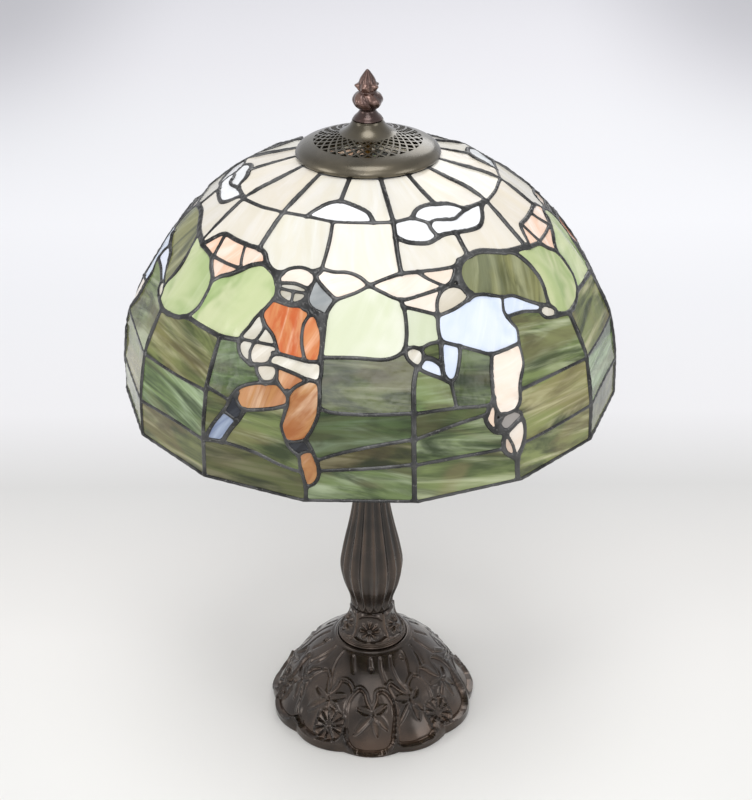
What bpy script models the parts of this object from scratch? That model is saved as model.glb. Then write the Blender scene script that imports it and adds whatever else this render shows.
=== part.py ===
"""Stained glass table lamp: a leaded dome shade of fifteen bent gores on a cast lily-pad foot.

Metres, +Z up. The origin is the centre of the felt pad's underside, on the table.
Angles round the lamp are turns from the front (-Y), growing towards the right (+X).
"""

import math

import bmesh
import bpy
from mathutils import Matrix, Vector

# Driving dimensions -------------------------------------------------------------------

TABLE_GAP = 0.0006  # the cast rim hangs this far above the table, so the felt carries the lamp
FIT = 0.0003  # clearance between neighbouring pieces

PAD_RADIUS = 0.084
PAD_THICKNESS = 0.002

FOOT_RADIUS = 0.0925
FOOT_HEIGHT = 0.0685
FOOT_WALL = 0.004
FOOT_LOBES = 15
LOBE_DEPTH = 0.0028
INLET_HEIGHT = 0.012
INLET_RADIUS = 0.0046

PIPE_RADIUS = 0.005
BORE_RADIUS = 0.0056
PIPE_BOTTOM = 0.0034
NUT_Z = 0.0046
WASHER_Z = 0.0099
WEIGHT_Z = 0.012
WEIGHT_TOP = 0.024
WEIGHT_RADIUS = 0.072

COLLAR_BASE = 0.0700
VASE_BASE = 0.1016
VASE_TOP = 0.2960
VASE_RADIUS = 0.0281
FLUTES = 16
FLUTE_DEPTH = 0.06  # share of the radius
FLUTE_PHASE = math.radians(5)

CLUSTER_Z = 0.330
CLUSTER_RADIUS = 0.020
SOCKET_TILT = math.radians(50)
SOCKET_RADIUS = 0.017
SOCKET_WALL = 0.0012
CHAIN_ALONG = 0.048  # where the pull chain leaves the socket, measured along the socket
CHAIN_RADIUS = 0.0012
GUIDE_BOTTOM = 0.334
CHAIN_TOP = 0.3475
CHAIN_END = 0.292

PANELS = 15
SEAM_ANGLE = math.radians(-13.95)  # the seam left of the front panel
RIM_Z = 0.330
# Height above the rim and corner radius of the dome, from the rim to the top opening.
DOME = (
    (0.0, 0.2032),
    (0.0305, 0.2024),
    (0.0690, 0.1965),
    (0.1050, 0.1795),
    (0.1400, 0.1535),
    (0.1650, 0.1270),
    (0.1850, 0.0975),
    (0.1975, 0.0550),
)
GLASS_THICKNESS = 0.0028
CAME_WIDTH = 0.0024
CAME_PROUD = 0.0006
RING_LEVEL = 0.1095  # arc length from the rim to the ring between field and sky
TOP_LEVEL = 0.2640
FIELD_BREAKS = (0.030, 0.070)
SKY_BREAKS = (0.145, 0.180, 0.217)

RISER_STEP = 0.5155
STUD_RADIUS = 0.0031
STUD_TOP = 0.5620
STUD_BORE = 0.0036
SEAT_RADIUS = 0.013
SPIDER_Z = 0.5195
SPIDER_THICKNESS = 0.0028
SPIDER_RING = (0.046, 0.060)
CAP_Z = 0.5282
CAP_RADIUS = 0.0573
CAP_WALL = 0.0011
LATTICE_COUNT = 24
LATTICE_BAR = 0.0009
FINIAL_Z = 0.5567


# Helpers ------------------------------------------------------------------------------


def clear_scene():
    for item in list(bpy.data.objects):
        bpy.data.objects.remove(item, do_unlink=True)


def finish(name, colour, roughness, metallic, alpha=1.0):
    made = bpy.data.materials.new(name)
    made.use_nodes = True
    shader = made.node_tree.nodes["Principled BSDF"]
    shader.inputs["Base Color"].default_value = (*colour, 1.0)
    shader.inputs["Roughness"].default_value = roughness
    shader.inputs["Metallic"].default_value = metallic
    shader.inputs["Alpha"].default_value = alpha
    return made


def round_point(angle, radius, height):
    """The point at this angle from the front, radius and height."""
    return Vector((radius * math.sin(angle), -radius * math.cos(angle), height))


def keep_mesh(name, bm, material, smooth=True):
    """A new object that holds this bmesh, with its faces turned outwards."""
    bmesh.ops.recalc_face_normals(bm, faces=bm.faces)
    mesh = bpy.data.meshes.new(name)
    bm.to_mesh(mesh)
    bm.free()
    if smooth:
        mesh.shade_smooth()
        mesh.set_sharp_from_angle(angle=math.radians(35))
    mesh.materials.append(material)
    made = bpy.data.objects.new(name, mesh)
    bpy.context.scene.collection.objects.link(made)
    return made


def turned(name, outline, material, segments=24, shape=None):
    """The outline of (radius, height) points turned about Z.

    An outline that starts and ends on the axis makes a solid; any other is a closed loop and makes a ring.
    shape(angle, radius, height) can give each point another radius.
    """
    bm = bmesh.new()
    rings = []
    for radius, height in outline:
        if radius == 0:
            rings.append([bm.verts.new((0, 0, height))] * segments)
            continue
        ring = []
        for step in range(segments):
            angle = math.tau * step / segments
            own = shape(angle, radius, height) if shape else radius
            ring.append(bm.verts.new(round_point(angle, own, height)))
        rings.append(ring)
    solid = outline[0][0] == 0
    pairs = list(zip(rings, rings[1:])) + ([] if solid else [(rings[-1], rings[0])])
    for low, high in pairs:
        for step in range(segments):
            after = (step + 1) % segments
            corners = [low[step], low[after], high[after], high[step]]
            bm.faces.new(dict.fromkeys(corners))
    return keep_mesh(name, bm, material)


def tube_outline(inner, outer, bottom, top):
    return [(outer, bottom), (outer, top), (inner, top), (inner, bottom)]


def solid_outline(radius, bottom, top):
    return [(0, bottom), (radius, bottom), (radius, top), (0, top)]


def helper(made):
    """Marks an object that only shapes another one."""
    made.hide_render = True
    made.display_type = "WIRE"
    return made


def boolean(target, other, operation):
    modifier = target.modifiers.new(other.name, "BOOLEAN")
    modifier.operation = operation
    modifier.object = other
    modifier.solver = "EXACT"


def place(made, position, turn=None):
    rotation = turn.to_4x4() if turn else Matrix.Identity(4)
    made.matrix_world = Matrix.Translation(position) @ rotation
    return made


# Foot ---------------------------------------------------------------------------------


def lobed(angle, radius, height):
    """The foot's rim waves in and out like a ring of lily pads; its shoulder stays round."""
    share = max(0.0, (radius - 0.04) / (FOOT_RADIUS - 0.04))
    return radius + LOBE_DEPTH * share**2 * math.cos(FOOT_LOBES * angle)


def make_foot(bronze):
    outer = [
        (0.038, FOOT_HEIGHT),
        (0.046, 0.0650),
        (0.056, 0.0575),
        (0.066, 0.0480),
        (0.076, 0.0365),
        (0.084, 0.0250),
        (0.0895, 0.0140),
        (FOOT_RADIUS, 0.0050),
        (FOOT_RADIUS, TABLE_GAP),
    ]
    inner = [
        (0.0885, TABLE_GAP),
        (0.0882, 0.0050),
        (0.0795, 0.0225),
        (0.0620, 0.0445),
        (0.0440, 0.0600),
        (0.0370, FOOT_HEIGHT - FOOT_WALL),
    ]
    bore = [(BORE_RADIUS, FOOT_HEIGHT - FOOT_WALL), (BORE_RADIUS, FOOT_HEIGHT)]
    foot = turned("foot_casting", outer + inner + bore, bronze, 60, lobed)
    cutter = turned("inlet_hole", solid_outline(INLET_RADIUS, -0.02, 0.02), bronze, 20)
    along_y = Matrix.Rotation(math.radians(-90), 3, "X")
    place(helper(cutter), (0, 0.088, INLET_HEIGHT), along_y)
    boolean(foot, cutter, "DIFFERENCE")


def make_inlet(plastic):
    """The plastic bushing of the cord's inlet, at the back of the foot."""
    outline = [
        (0.0028, -0.010),
        (0.0042, -0.010),
        (0.0042, 0.004),
        (0.0065, 0.004),
        (0.0060, 0.0065),
        (0.0028, 0.0065),
    ]
    inlet = turned("cord_inlet", outline, plastic, 16)
    place(inlet, (0, 0.088, INLET_HEIGHT), Matrix.Rotation(math.radians(-90), 3, "X"))


def make_base_hardware(felt, iron, steel):
    turned("felt_pad", solid_outline(PAD_RADIUS, 0, PAD_THICKNESS), felt, 48)
    turned("base_weight", tube_outline(BORE_RADIUS, WEIGHT_RADIUS, WEIGHT_Z, WEIGHT_TOP), iron, 32)
    turned("base_washer", tube_outline(BORE_RADIUS, 0.015, WASHER_Z, WEIGHT_Z - FIT), steel, 24)
    nut = turned("base_nut", solid_outline(0.0095, NUT_Z, WASHER_Z - FIT), steel, 6)
    thread = turned("nut_thread", solid_outline(BORE_RADIUS, 0, 0.02), steel, 24)
    boolean(nut, helper(thread), "DIFFERENCE")


# Stem ---------------------------------------------------------------------------------


def fluted(angle, radius, height):
    """Rounded flutes with narrow ridges between them; the bore stays round."""
    if radius < 0.008:
        return radius
    wave = abs(math.cos(FLUTES * (angle - FLUTE_PHASE) / 2))
    return radius * (1 - FLUTE_DEPTH * (1 - wave))


def make_collar(bronze):
    outline = [
        (0.0305, COLLAR_BASE),
        (0.0322, COLLAR_BASE + 0.0018),
        (0.0316, COLLAR_BASE + 0.0040),
        (0.0290, COLLAR_BASE + 0.0060),
        (0.0240, COLLAR_BASE + 0.0125),
        (0.0195, COLLAR_BASE + 0.0190),
        (0.0180, COLLAR_BASE + 0.0250),
        (0.0186, VASE_BASE - FIT),
        (BORE_RADIUS, VASE_BASE - FIT),
        (BORE_RADIUS, COLLAR_BASE),
    ]
    turned("stem_collar", outline, bronze, 32)


def make_vase(bronze):
    outline = [
        (0.0180, VASE_BASE),
        (0.0205, VASE_BASE + 0.012),
        (0.0252, VASE_BASE + 0.026),
        (VASE_RADIUS, VASE_BASE + 0.044),
        (0.0255, VASE_BASE + 0.063),
        (0.0208, VASE_BASE + 0.084),
        (0.0168, VASE_BASE + 0.105),
        (0.0134, VASE_BASE + 0.135),
        (0.0122, VASE_BASE + 0.165),
        (0.0140, VASE_TOP - 0.006),
        (0.0150, VASE_TOP),
        (BORE_RADIUS, VASE_TOP),
        (BORE_RADIUS, VASE_BASE),
    ]
    turned("stem_vase", outline, bronze, 4 * FLUTES, fluted)


def make_pipes(steel):
    pipe = tube_outline(0.0038, PIPE_RADIUS, PIPE_BOTTOM, CLUSTER_Z - 0.008)
    turned("main_pipe", pipe, steel, 20)
    riser = [
        (0, CLUSTER_Z + 0.008),
        (PIPE_RADIUS, CLUSTER_Z + 0.008),
        (PIPE_RADIUS, RISER_STEP),
        (STUD_RADIUS, RISER_STEP),
        (STUD_RADIUS, STUD_TOP),
        (0, STUD_TOP),
    ]
    turned("riser_rod", riser, steel, 20)


def make_stem_cap(bronze):
    base = VASE_TOP + FIT
    outline = [
        (0.0160, base),
        (0.0172, base + 0.0020),
        (0.0150, base + 0.0045),
        (0.0110, base + 0.0064),
        (BORE_RADIUS, base + 0.0064),
        (BORE_RADIUS, base),
    ]
    turned("stem_cap", outline, bronze, 24)


# Lamp holders -------------------------------------------------------------------------


def socket_turn(side):
    return Matrix.Rotation(side * SOCKET_TILT, 3, "Y")


def make_cluster(brass):
    """The two-way body that carries both lamp holders, with a hollow arm to each."""
    low = CLUSTER_Z - 0.0267
    outline = [
        (0.0110, low),
        (0.0140, low + 0.0020),
        (0.0185, CLUSTER_Z - 0.012),
        (CLUSTER_RADIUS, CLUSTER_Z),
        (0.0185, CLUSTER_Z + 0.011),
        (0.0120, CLUSTER_Z + 0.020),
        (BORE_RADIUS, CLUSTER_Z + 0.020),
        (BORE_RADIUS, low),
    ]
    cluster = turned("cluster_body", outline, brass, 24)
    for side, word in ((-1, "left"), (1, "right")):
        arm = turned(f"arm_{word}", solid_outline(0.0065, 0.012, 0.0252), brass, 16)
        place(helper(arm), (0, 0, CLUSTER_Z), socket_turn(side))
        boolean(cluster, arm, "UNION")


def chain_spot(side):
    """Where the pull chain's line crosses the underside of the socket."""
    along = Vector((math.sin(SOCKET_TILT), 0, math.cos(SOCKET_TILT)))
    under = Vector((math.cos(SOCKET_TILT), 0, -math.sin(SOCKET_TILT)))
    spot = along * CHAIN_ALONG + under * SOCKET_RADIUS
    return Vector((side * spot.x, 0, CLUSTER_Z + spot.z))


def make_socket_shell(side, word, brass):
    """The socket's sleeve, with the little spout that guides the pull chain."""
    outline = [
        (0, 0.0363),
        (SOCKET_RADIUS, 0.0363),
        (SOCKET_RADIUS, 0.0720),
        (SOCKET_RADIUS + 0.0008, 0.0730),
        (SOCKET_RADIUS + 0.0008, 0.0750),
        (0, 0.0750),
    ]
    shell = turned(f"socket_shell_{word}", outline, brass, 24)
    place(shell, (0, 0, CLUSTER_Z), socket_turn(side))
    spot = chain_spot(side)
    length = spot.z + 0.006 - GUIDE_BOTTOM
    spout = turned(f"spout_{word}", solid_outline(0.0032, 0, length), brass, 16)
    place(helper(spout), (spot.x, 0, GUIDE_BOTTOM))
    inside = solid_outline(SOCKET_RADIUS - SOCKET_WALL, 0.030, 0.080)
    hollow = turned(f"hollow_{word}", inside, brass, 24)
    place(helper(hollow), (0, 0, CLUSTER_Z), socket_turn(side))
    bore = turned(f"spout_bore_{word}", solid_outline(0.0019, -0.005, length + 0.004), brass, 16)
    place(helper(bore), (spot.x, 0, GUIDE_BOTTOM))
    boolean(shell, spout, "UNION")
    boolean(shell, hollow, "DIFFERENCE")
    boolean(shell, bore, "DIFFERENCE")


def make_socket(side, word, brass, phenolic):
    cap_outline = [
        (0.0060, 0.0255),
        (0.0120, 0.0266),
        (0.0155, 0.0295),
        (SOCKET_RADIUS, 0.0335),
        (SOCKET_RADIUS, 0.0360),
        (SOCKET_RADIUS - SOCKET_WALL, 0.0360),
        (SOCKET_RADIUS - SOCKET_WALL, 0.0340),
        (0.0143, 0.0306),
        (0.0115, 0.0279),
        (0.0060, 0.0268),
    ]
    cap = turned(f"socket_cap_{word}", cap_outline, brass, 24)
    core_outline = [(0, 0.0312), (0.0134, 0.0312), (0.0152, 0.0350), (0.0152, 0.0500), (0, 0.0500)]
    core = turned(f"socket_core_{word}", core_outline, phenolic, 24)
    for made in (cap, core):
        place(made, (0, 0, CLUSTER_Z), socket_turn(side))
    make_socket_shell(side, word, brass)


def make_bulb(side, word, glass, brass):
    base_outline = [
        (0, 0.0503),
        (0.0045, 0.0503),
        (0.0060, 0.0525),
        (0.0128, 0.0545),
        (0.0131, 0.0780),
        (0, 0.0780),
    ]
    glass_outline = [
        (0, 0.0783),
        (0.0132, 0.0783),
        (0.0145, 0.0830),
        (0.0195, 0.0930),
        (0.0262, 0.1050),
        (0.0298, 0.1170),
        (0.0285, 0.1290),
        (0.0215, 0.1400),
        (0.0110, 0.1463),
        (0, 0.1480),
    ]
    place(turned(f"bulb_base_{word}", base_outline, brass, 20), (0, 0, CLUSTER_Z), socket_turn(side))
    place(turned(f"bulb_glass_{word}", glass_outline, glass, 20), (0, 0, CLUSTER_Z), socket_turn(side))


def make_pull_chain(side, word, brass):
    """A bead chain, as a thin rod here, with the bell that a hand pulls."""
    bottom = CHAIN_END - 0.014
    outline = [
        (0, bottom),
        (0.0040, bottom),
        (0.0036, bottom + 0.0040),
        (0.0018, bottom + 0.0110),
        (CHAIN_RADIUS, CHAIN_END),
        (CHAIN_RADIUS, CHAIN_TOP),
        (0, CHAIN_TOP),
    ]
    local = [(radius, height - CHAIN_TOP) for radius, height in outline]
    spot = chain_spot(side)
    place(turned(f"pull_chain_{word}", local, brass, 12), (spot.x, 0, CHAIN_TOP))


# Shade --------------------------------------------------------------------------------


def dome_slopes():
    """The slope at each point of DOME of a curve that never overshoots it, and each span's own slope."""
    spans = [(b[1] - a[1]) / (b[0] - a[0]) for a, b in zip(DOME, DOME[1:])]
    inner = [2 * a * b / (a + b) if a * b > 0 else 0.0 for a, b in zip(spans, spans[1:])]
    return [spans[0], *inner, spans[-1]]


def dome_curve(steps=24):
    """(arc length, height above the rim, corner radius) along the dome, from the rim up."""
    slopes = dome_slopes()
    curve = [(0.0, *DOME[0])]
    for (low, high), (m0, m1) in zip(zip(DOME, DOME[1:]), zip(slopes, slopes[1:])):
        width = high[0] - low[0]
        for step in range(1, steps + 1):
            t = step / steps
            radius = (
                low[1] * (1 + 2 * t) * (1 - t) ** 2
                + m0 * width * t * (1 - t) ** 2
                + high[1] * t * t * (3 - 2 * t)
                + m1 * width * t * t * (t - 1)
            )
            height = low[0] + t * width
            length, last_height, last_radius = curve[-1]
            length += math.hypot(height - last_height, radius - last_radius)
            curve.append((length, height, radius))
    return curve


CURVE = dome_curve()


def dome_at(length):
    """Height, corner radius and outward direction (radial, up) at this arc length."""
    for low, high in zip(CURVE, CURVE[1:]):
        if high[0] >= length:
            break
    span = high[0] - low[0]
    t = (length - low[0]) / span
    rise, run = (high[1] - low[1]) / span, (high[2] - low[2]) / span
    return low[1] + t * (high[1] - low[1]), low[2] + t * (high[2] - low[2]), rise, -run


def dome_point(column, length, depth):
    """A point on the dome: column counts the seams round it, whole numbers being seams; depth goes inwards."""
    height, radius, out, up = dome_at(length)
    corner = radius - depth * out / math.cos(math.pi / PANELS)
    level = RIM_Z + height - depth * up
    seam = math.floor(column)
    share = column - seam
    left = round_point(SEAM_ANGLE + math.tau * seam / PANELS, corner, level)
    right = round_point(SEAM_ANGLE + math.tau * (seam + 1) / PANELS, corner, level)
    return left.lerp(right, share)


def seam_share(width, length):
    """A width across a seam, as a share of the panel's own width at this arc length."""
    return width / (2 * dome_at(length)[1] * math.sin(math.pi / PANELS))


def shell_of_cells(name, columns, rows, solid, depths, material, closed):
    """A shell on the dome, made of the cells of a grid for which solid(column, row) is true.

    columns are (seam number, offset across the seam in metres); rows are arc lengths.
    """
    bm = bmesh.new()
    corners = {}

    def corner(i, j, side):
        i = i % len(columns) if closed else i
        if (i, j, side) not in corners:
            seam, offset = columns[i]
            column = seam + seam_share(offset, rows[j])
            corners[i, j, side] = bm.verts.new(dome_point(column, rows[j], depths[side]))
        return corners[i, j, side]

    across = len(columns) if closed else len(columns) - 1

    def is_solid(i, j):
        inside = 0 <= j < len(rows) - 1 and (closed or 0 <= i < across)
        return inside and solid(i % across, j)

    for i in range(across):
        for j in range(len(rows) - 1):
            if not is_solid(i, j):
                continue
            square = [(i, j), (i + 1, j), (i + 1, j + 1), (i, j + 1)]
            for side in (0, 1):
                bm.faces.new([corner(a, b, side) for a, b in square])
            beyond = [(i, j - 1), (i + 1, j), (i, j + 1), (i - 1, j)]
            for (a, b), (after_a, after_b), other in zip(square, square[1:] + square[:1], beyond):
                if not is_solid(*other):
                    edge = [corner(a, b, 0), corner(after_a, after_b, 0)]
                    bm.faces.new(edge + [corner(after_a, after_b, 1), corner(a, b, 1)])
    return keep_mesh(name, bm, material, smooth=False)


def make_came(solder):
    """The lead lattice: a bar along each seam, the rim, the ring between field and sky, and the top ring."""
    columns = []
    for seam in range(PANELS):
        columns += [(seam, -CAME_WIDTH / 2), (seam, CAME_WIDTH / 2)]
    rows = [0.0, 0.003, *FIELD_BREAKS, RING_LEVEL, RING_LEVEL + 0.003, *SKY_BREAKS]
    rows += [TOP_LEVEL, TOP_LEVEL + 0.004]
    rings = (0, rows.index(RING_LEVEL), rows.index(TOP_LEVEL))
    depths = (-CAME_PROUD, GLASS_THICKNESS + CAME_PROUD)
    shell_of_cells("came_lattice", columns, rows, lambda i, j: i % 2 == 0 or j in rings, depths, solder, True)


def make_panels(field_glass, sky_glass):
    """Each gore holds a lower panel, the playing field, and an upper one, the hills and sky."""
    edge = CAME_WIDTH / 2 + FIT
    tiers = (
        ("field_panel", 0.003 + FIT, FIELD_BREAKS, RING_LEVEL - FIT, field_glass),
        ("sky_panel", RING_LEVEL + 0.003 + FIT, SKY_BREAKS, TOP_LEVEL - FIT, sky_glass),
    )
    for word, low, breaks, high, glass in tiers:
        for seam in range(PANELS):
            columns = [(seam, edge), (seam + 1, -edge)]
            rows = [low, *breaks, high]
            name = f"{word}_{seam + 1:02d}"
            shell_of_cells(name, columns, rows, lambda i, j: True, (0, GLASS_THICKNESS), glass, False)


# Top ----------------------------------------------------------------------------------


def make_seat(brass):
    outline = tube_outline(STUD_BORE, SEAT_RADIUS, RISER_STEP + FIT, SPIDER_Z - FIT)
    turned("shade_seat", outline, brass, 24)


def make_spider(brass):
    """The ring soldered under the glass, with three arms to a hub on the riser."""
    low, high = SPIDER_Z, SPIDER_Z + SPIDER_THICKNESS
    spider = turned("shade_spider", tube_outline(*SPIDER_RING, low, high), brass, 30)
    hub = turned("spider_hub", tube_outline(STUD_BORE, 0.012, low, high), brass, 24)
    boolean(spider, helper(hub), "UNION")
    for arm in range(3):
        bm = bmesh.new()
        bmesh.ops.create_cube(bm, size=1)
        scale = Vector((0.010, 0.0385, SPIDER_THICKNESS * 0.8))
        bmesh.ops.scale(bm, vec=scale, verts=bm.verts)
        bar = keep_mesh(f"spider_arm_{arm + 1}", bm, brass, smooth=False)
        turn = Matrix.Rotation(math.radians(60 + 120 * arm), 3, "Z")
        centre = turn @ Vector((0, 0.0295, SPIDER_Z + SPIDER_THICKNESS / 2))
        place(helper(bar), centre, turn)
        boolean(spider, bar, "UNION")


def lattice_faces(bm, levels):
    """Diamonds between staggered rings of points, and the half diamonds along both edges."""
    count = LATTICE_COUNT
    diamonds = []
    for j in range(len(levels) - 2):
        for i in range(count):
            left, right = ((i - 1) % count, i) if j % 2 == 0 else (i, (i + 1) % count)
            corners = [levels[j][i], levels[j + 1][right], levels[j + 2][i], levels[j + 1][left]]
            diamonds.append(bm.faces.new(corners))
    for i in range(count):
        after = (i + 1) % count
        bm.faces.new([levels[0][i], levels[0][after], levels[1][i]])
        bm.faces.new([levels[-1][after], levels[-1][i], levels[-2][i]])
    return diamonds


def make_vented_cap(bronze):
    """The spun cap: a rolled rim, a pierced band of diamonds and a bell that rises to the finial."""
    rim = [(0.0562, CAP_Z), (CAP_RADIUS, CAP_Z + 0.0022), (0.0555, CAP_Z + 0.0060), (0.0500, CAP_Z + 0.0098)]
    bell = [(0.0165, 0.5492), (0.0130, 0.5530), (0.0120, FINIAL_Z - FIT), (STUD_BORE, FINIAL_Z - FIT)]
    band_low, band_high = (0.0430, CAP_Z + 0.0118), (0.0215, 0.5462)
    bm = bmesh.new()

    def ring(radius, height, shift=0.0):
        angles = [math.tau * (i + shift) / LATTICE_COUNT for i in range(LATTICE_COUNT)]
        return [bm.verts.new(round_point(angle, radius, height)) for angle in angles]

    def bridge(rings):
        for low, high in zip(rings, rings[1:]):
            for i in range(LATTICE_COUNT):
                after = (i + 1) % LATTICE_COUNT
                bm.faces.new([low[i], low[after], high[after], high[i]])

    levels = []
    for j in range(5):
        t = j / 4
        radius = band_low[0] + t * (band_high[0] - band_low[0])
        height = band_low[1] + t * (band_high[1] - band_low[1])
        levels.append(ring(radius, height, 0.5 * (j % 2)))
    bridge([ring(*point) for point in rim] + [levels[0]])
    bridge([levels[-1]] + [ring(*point) for point in bell])
    diamonds = lattice_faces(bm, levels)
    bmesh.ops.recalc_face_normals(bm, faces=bm.faces)
    bmesh.ops.inset_individual(bm, faces=diamonds, thickness=LATTICE_BAR, use_even_offset=True)
    bmesh.ops.delete(bm, geom=diamonds, context="FACES")
    cap = keep_mesh("vented_cap", bm, bronze)
    wall = cap.modifiers.new("wall", "SOLIDIFY")
    wall.thickness = CAP_WALL
    wall.offset = -1


def make_finial(bronze):
    """A threaded knob: flared foot, onion, and a bud that ends in a point."""
    outline = [
        (0.0116, 0.0),
        (0.0116, 0.0012),
        (0.0096, 0.0036),
        (0.0068, 0.0072),
        (0.0088, 0.0097),
        (0.0114, 0.0145),
        (0.0104, 0.0180),
        (0.0066, 0.0218),
        (0.0074, 0.0242),
        (0.0086, 0.0277),
        (0.0064, 0.0300),
        (0.0056, 0.0328),
        (0.0030, 0.0365),
        (0, 0.0393),
    ]
    bore = [(0, 0.0065), (STUD_BORE, 0.0065), (STUD_BORE, 0.0)]
    place(turned("finial", bore + outline, bronze, 24), (0, 0, FINIAL_Z))


def main():
    clear_scene()
    foot_bronze = finish("foot bronze", (0.075, 0.052, 0.040), 0.38, 0.8)
    cap_bronze = finish("cap bronze", (0.110, 0.095, 0.070), 0.42, 0.8)
    finial_bronze = finish("finial bronze", (0.130, 0.060, 0.045), 0.35, 0.8)
    brass = finish("antique brass", (0.350, 0.240, 0.110), 0.35, 1.0)
    steel = finish("zinc steel", (0.450, 0.450, 0.460), 0.35, 1.0)
    iron = finish("cast iron", (0.060, 0.060, 0.062), 0.70, 0.5)
    felt = finish("felt", (0.030, 0.060, 0.035), 0.95, 0.0)
    plastic = finish("black plastic", (0.020, 0.020, 0.020), 0.45, 0.0)
    solder = finish("dark solder", (0.070, 0.070, 0.072), 0.45, 0.8)
    field_glass = finish("field glass", (0.110, 0.180, 0.070), 0.15, 0.0)
    sky_glass = finish("sky glass", (0.800, 0.750, 0.600), 0.15, 0.0)
    bulb_glass = finish("frosted bulb glass", (0.900, 0.880, 0.840), 0.30, 0.0, 0.9)

    make_base_hardware(felt, iron, steel)
    make_foot(foot_bronze)
    make_inlet(plastic)
    make_collar(foot_bronze)
    make_vase(foot_bronze)
    make_stem_cap(foot_bronze)
    make_pipes(steel)
    make_cluster(brass)
    for side, word in ((-1, "left"), (1, "right")):
        make_socket(side, word, brass, plastic)
        make_bulb(side, word, bulb_glass, brass)
        make_pull_chain(side, word, brass)
    make_came(solder)
    make_panels(field_glass, sky_glass)
    make_seat(brass)
    make_spider(brass)
    make_vented_cap(cap_bronze)
    make_finial(finial_bronze)


main()
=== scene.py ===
# %% [markdown]
# # Stained glass table lamp
#
# A leaded dome shade of three repeating scenes, in which two ball players stand in a field under a
# cream sky, on a cast bronze lily-pad foot. The frame holds the lamp's structure and its joints.
# Each step below makes one surface that a person sees: glass and solder first, castings after.

import math
import random

import bmesh
import bpy
import numpy as np
from mathutils import Matrix, Vector
from mathutils.geometry import delaunay_2d_cdt


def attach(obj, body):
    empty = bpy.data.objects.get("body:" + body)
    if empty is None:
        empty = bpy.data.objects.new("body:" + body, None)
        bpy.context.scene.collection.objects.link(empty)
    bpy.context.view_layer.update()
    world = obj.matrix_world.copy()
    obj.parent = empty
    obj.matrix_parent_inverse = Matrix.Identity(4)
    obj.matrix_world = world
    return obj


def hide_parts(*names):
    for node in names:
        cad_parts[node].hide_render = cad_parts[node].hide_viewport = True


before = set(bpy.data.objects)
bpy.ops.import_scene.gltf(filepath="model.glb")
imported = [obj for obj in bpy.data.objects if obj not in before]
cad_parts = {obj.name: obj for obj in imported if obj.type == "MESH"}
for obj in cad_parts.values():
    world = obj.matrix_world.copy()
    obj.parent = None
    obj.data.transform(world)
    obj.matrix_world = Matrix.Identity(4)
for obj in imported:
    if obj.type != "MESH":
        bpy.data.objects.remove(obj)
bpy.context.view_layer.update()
rng = random.Random(11)
PANELS, RIM_Z = 15, 0.330

# %% [markdown]
# ## Helpers
# Colours are written as they look on a screen, so one helper turns them into linear light. The
# others add a shader node, join nodes into a group, and make a material.

# %% Node helpers
def tint(red, green, blue):
    """A screen colour of 0 to 255 as linear RGBA."""
    linear = [(v / 12.92 if v <= 0.04045 else ((v + 0.055) / 1.055) ** 2.4)
              for v in (red / 255, green / 255, blue / 255)]
    return (*linear, 1.0)


def node(tree, kind, feeds=None, **settings):
    """Adds a node. feeds names each input, and gives a socket to link or a value to set."""
    made = tree.nodes.new(kind)
    for name, value in settings.items():
        setattr(made, name, value)
    for name, value in (feeds or {}).items():
        socket = made.inputs[name]
        if isinstance(value, bpy.types.NodeSocket):
            tree.links.new(value, socket)
        else:
            socket.default_value = value
    return made


def mix(tree, share, low, high, blend="MIX"):
    """The colour between low and high."""
    made = node(tree, "ShaderNodeMix", data_type="RGBA", blend_type=blend)
    for socket, value in ((made.inputs[0], share), (made.inputs[6], low), (made.inputs[7], high)):
        if isinstance(value, bpy.types.NodeSocket):
            tree.links.new(value, socket)
        else:
            socket.default_value = value
    return made.outputs[2]


def ramp(tree, value, low, high):
    """0 where the value is under low, 1 where it is over high, smooth between."""
    made = node(tree, "ShaderNodeMapRange", {"Value": value, "From Min": low, "From Max": high})
    made.interpolation_type = "SMOOTHSTEP"
    return made.outputs["Result"]


def times(tree, first, second, clamp=False):
    """One value times another, held within 0 to 1 where clamp is set."""
    return node(tree, "ShaderNodeMath", {0: first, 1: second}, operation="MULTIPLY",
                use_clamp=clamp).outputs[0]


def group(name, inputs, outputs):
    """A new shader node group with these sockets: its tree, its input node and its output node."""
    tree = bpy.data.node_groups.new(name, "ShaderNodeTree")
    for label, kind, value in inputs:
        socket = tree.interface.new_socket(label, in_out="INPUT", socket_type=kind)
        socket.default_value = value
    for label, kind in outputs:
        tree.interface.new_socket(label, in_out="OUTPUT", socket_type=kind)
    return tree, tree.nodes.new("NodeGroupInput"), tree.nodes.new("NodeGroupOutput")


def material(name, tree_group, feeds, **values):
    """A material whose Principled shader takes its colour, roughness and normal from a group."""
    made = bpy.data.materials.new(name)
    made.use_nodes = True
    tree = made.node_tree
    shader = tree.nodes["Principled BSDF"]
    source = node(tree, "ShaderNodeGroup", node_tree=tree_group)
    for label, value in feeds.items():
        source.inputs[label].default_value = value
    for label, target in (("Color", "Base Color"), ("Roughness", "Roughness"), ("Normal", "Normal")):
        tree.links.new(source.outputs[label], shader.inputs[target])
    for label, value in values.items():
        shader.inputs[label.replace("_", " ")].default_value = value
    return made


# %% [markdown]
# Every finished piece goes through one of the next two helpers. They give it its material, its
# sheet coordinates and its wear, and say which body it rides and which frame pieces it replaces.

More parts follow.
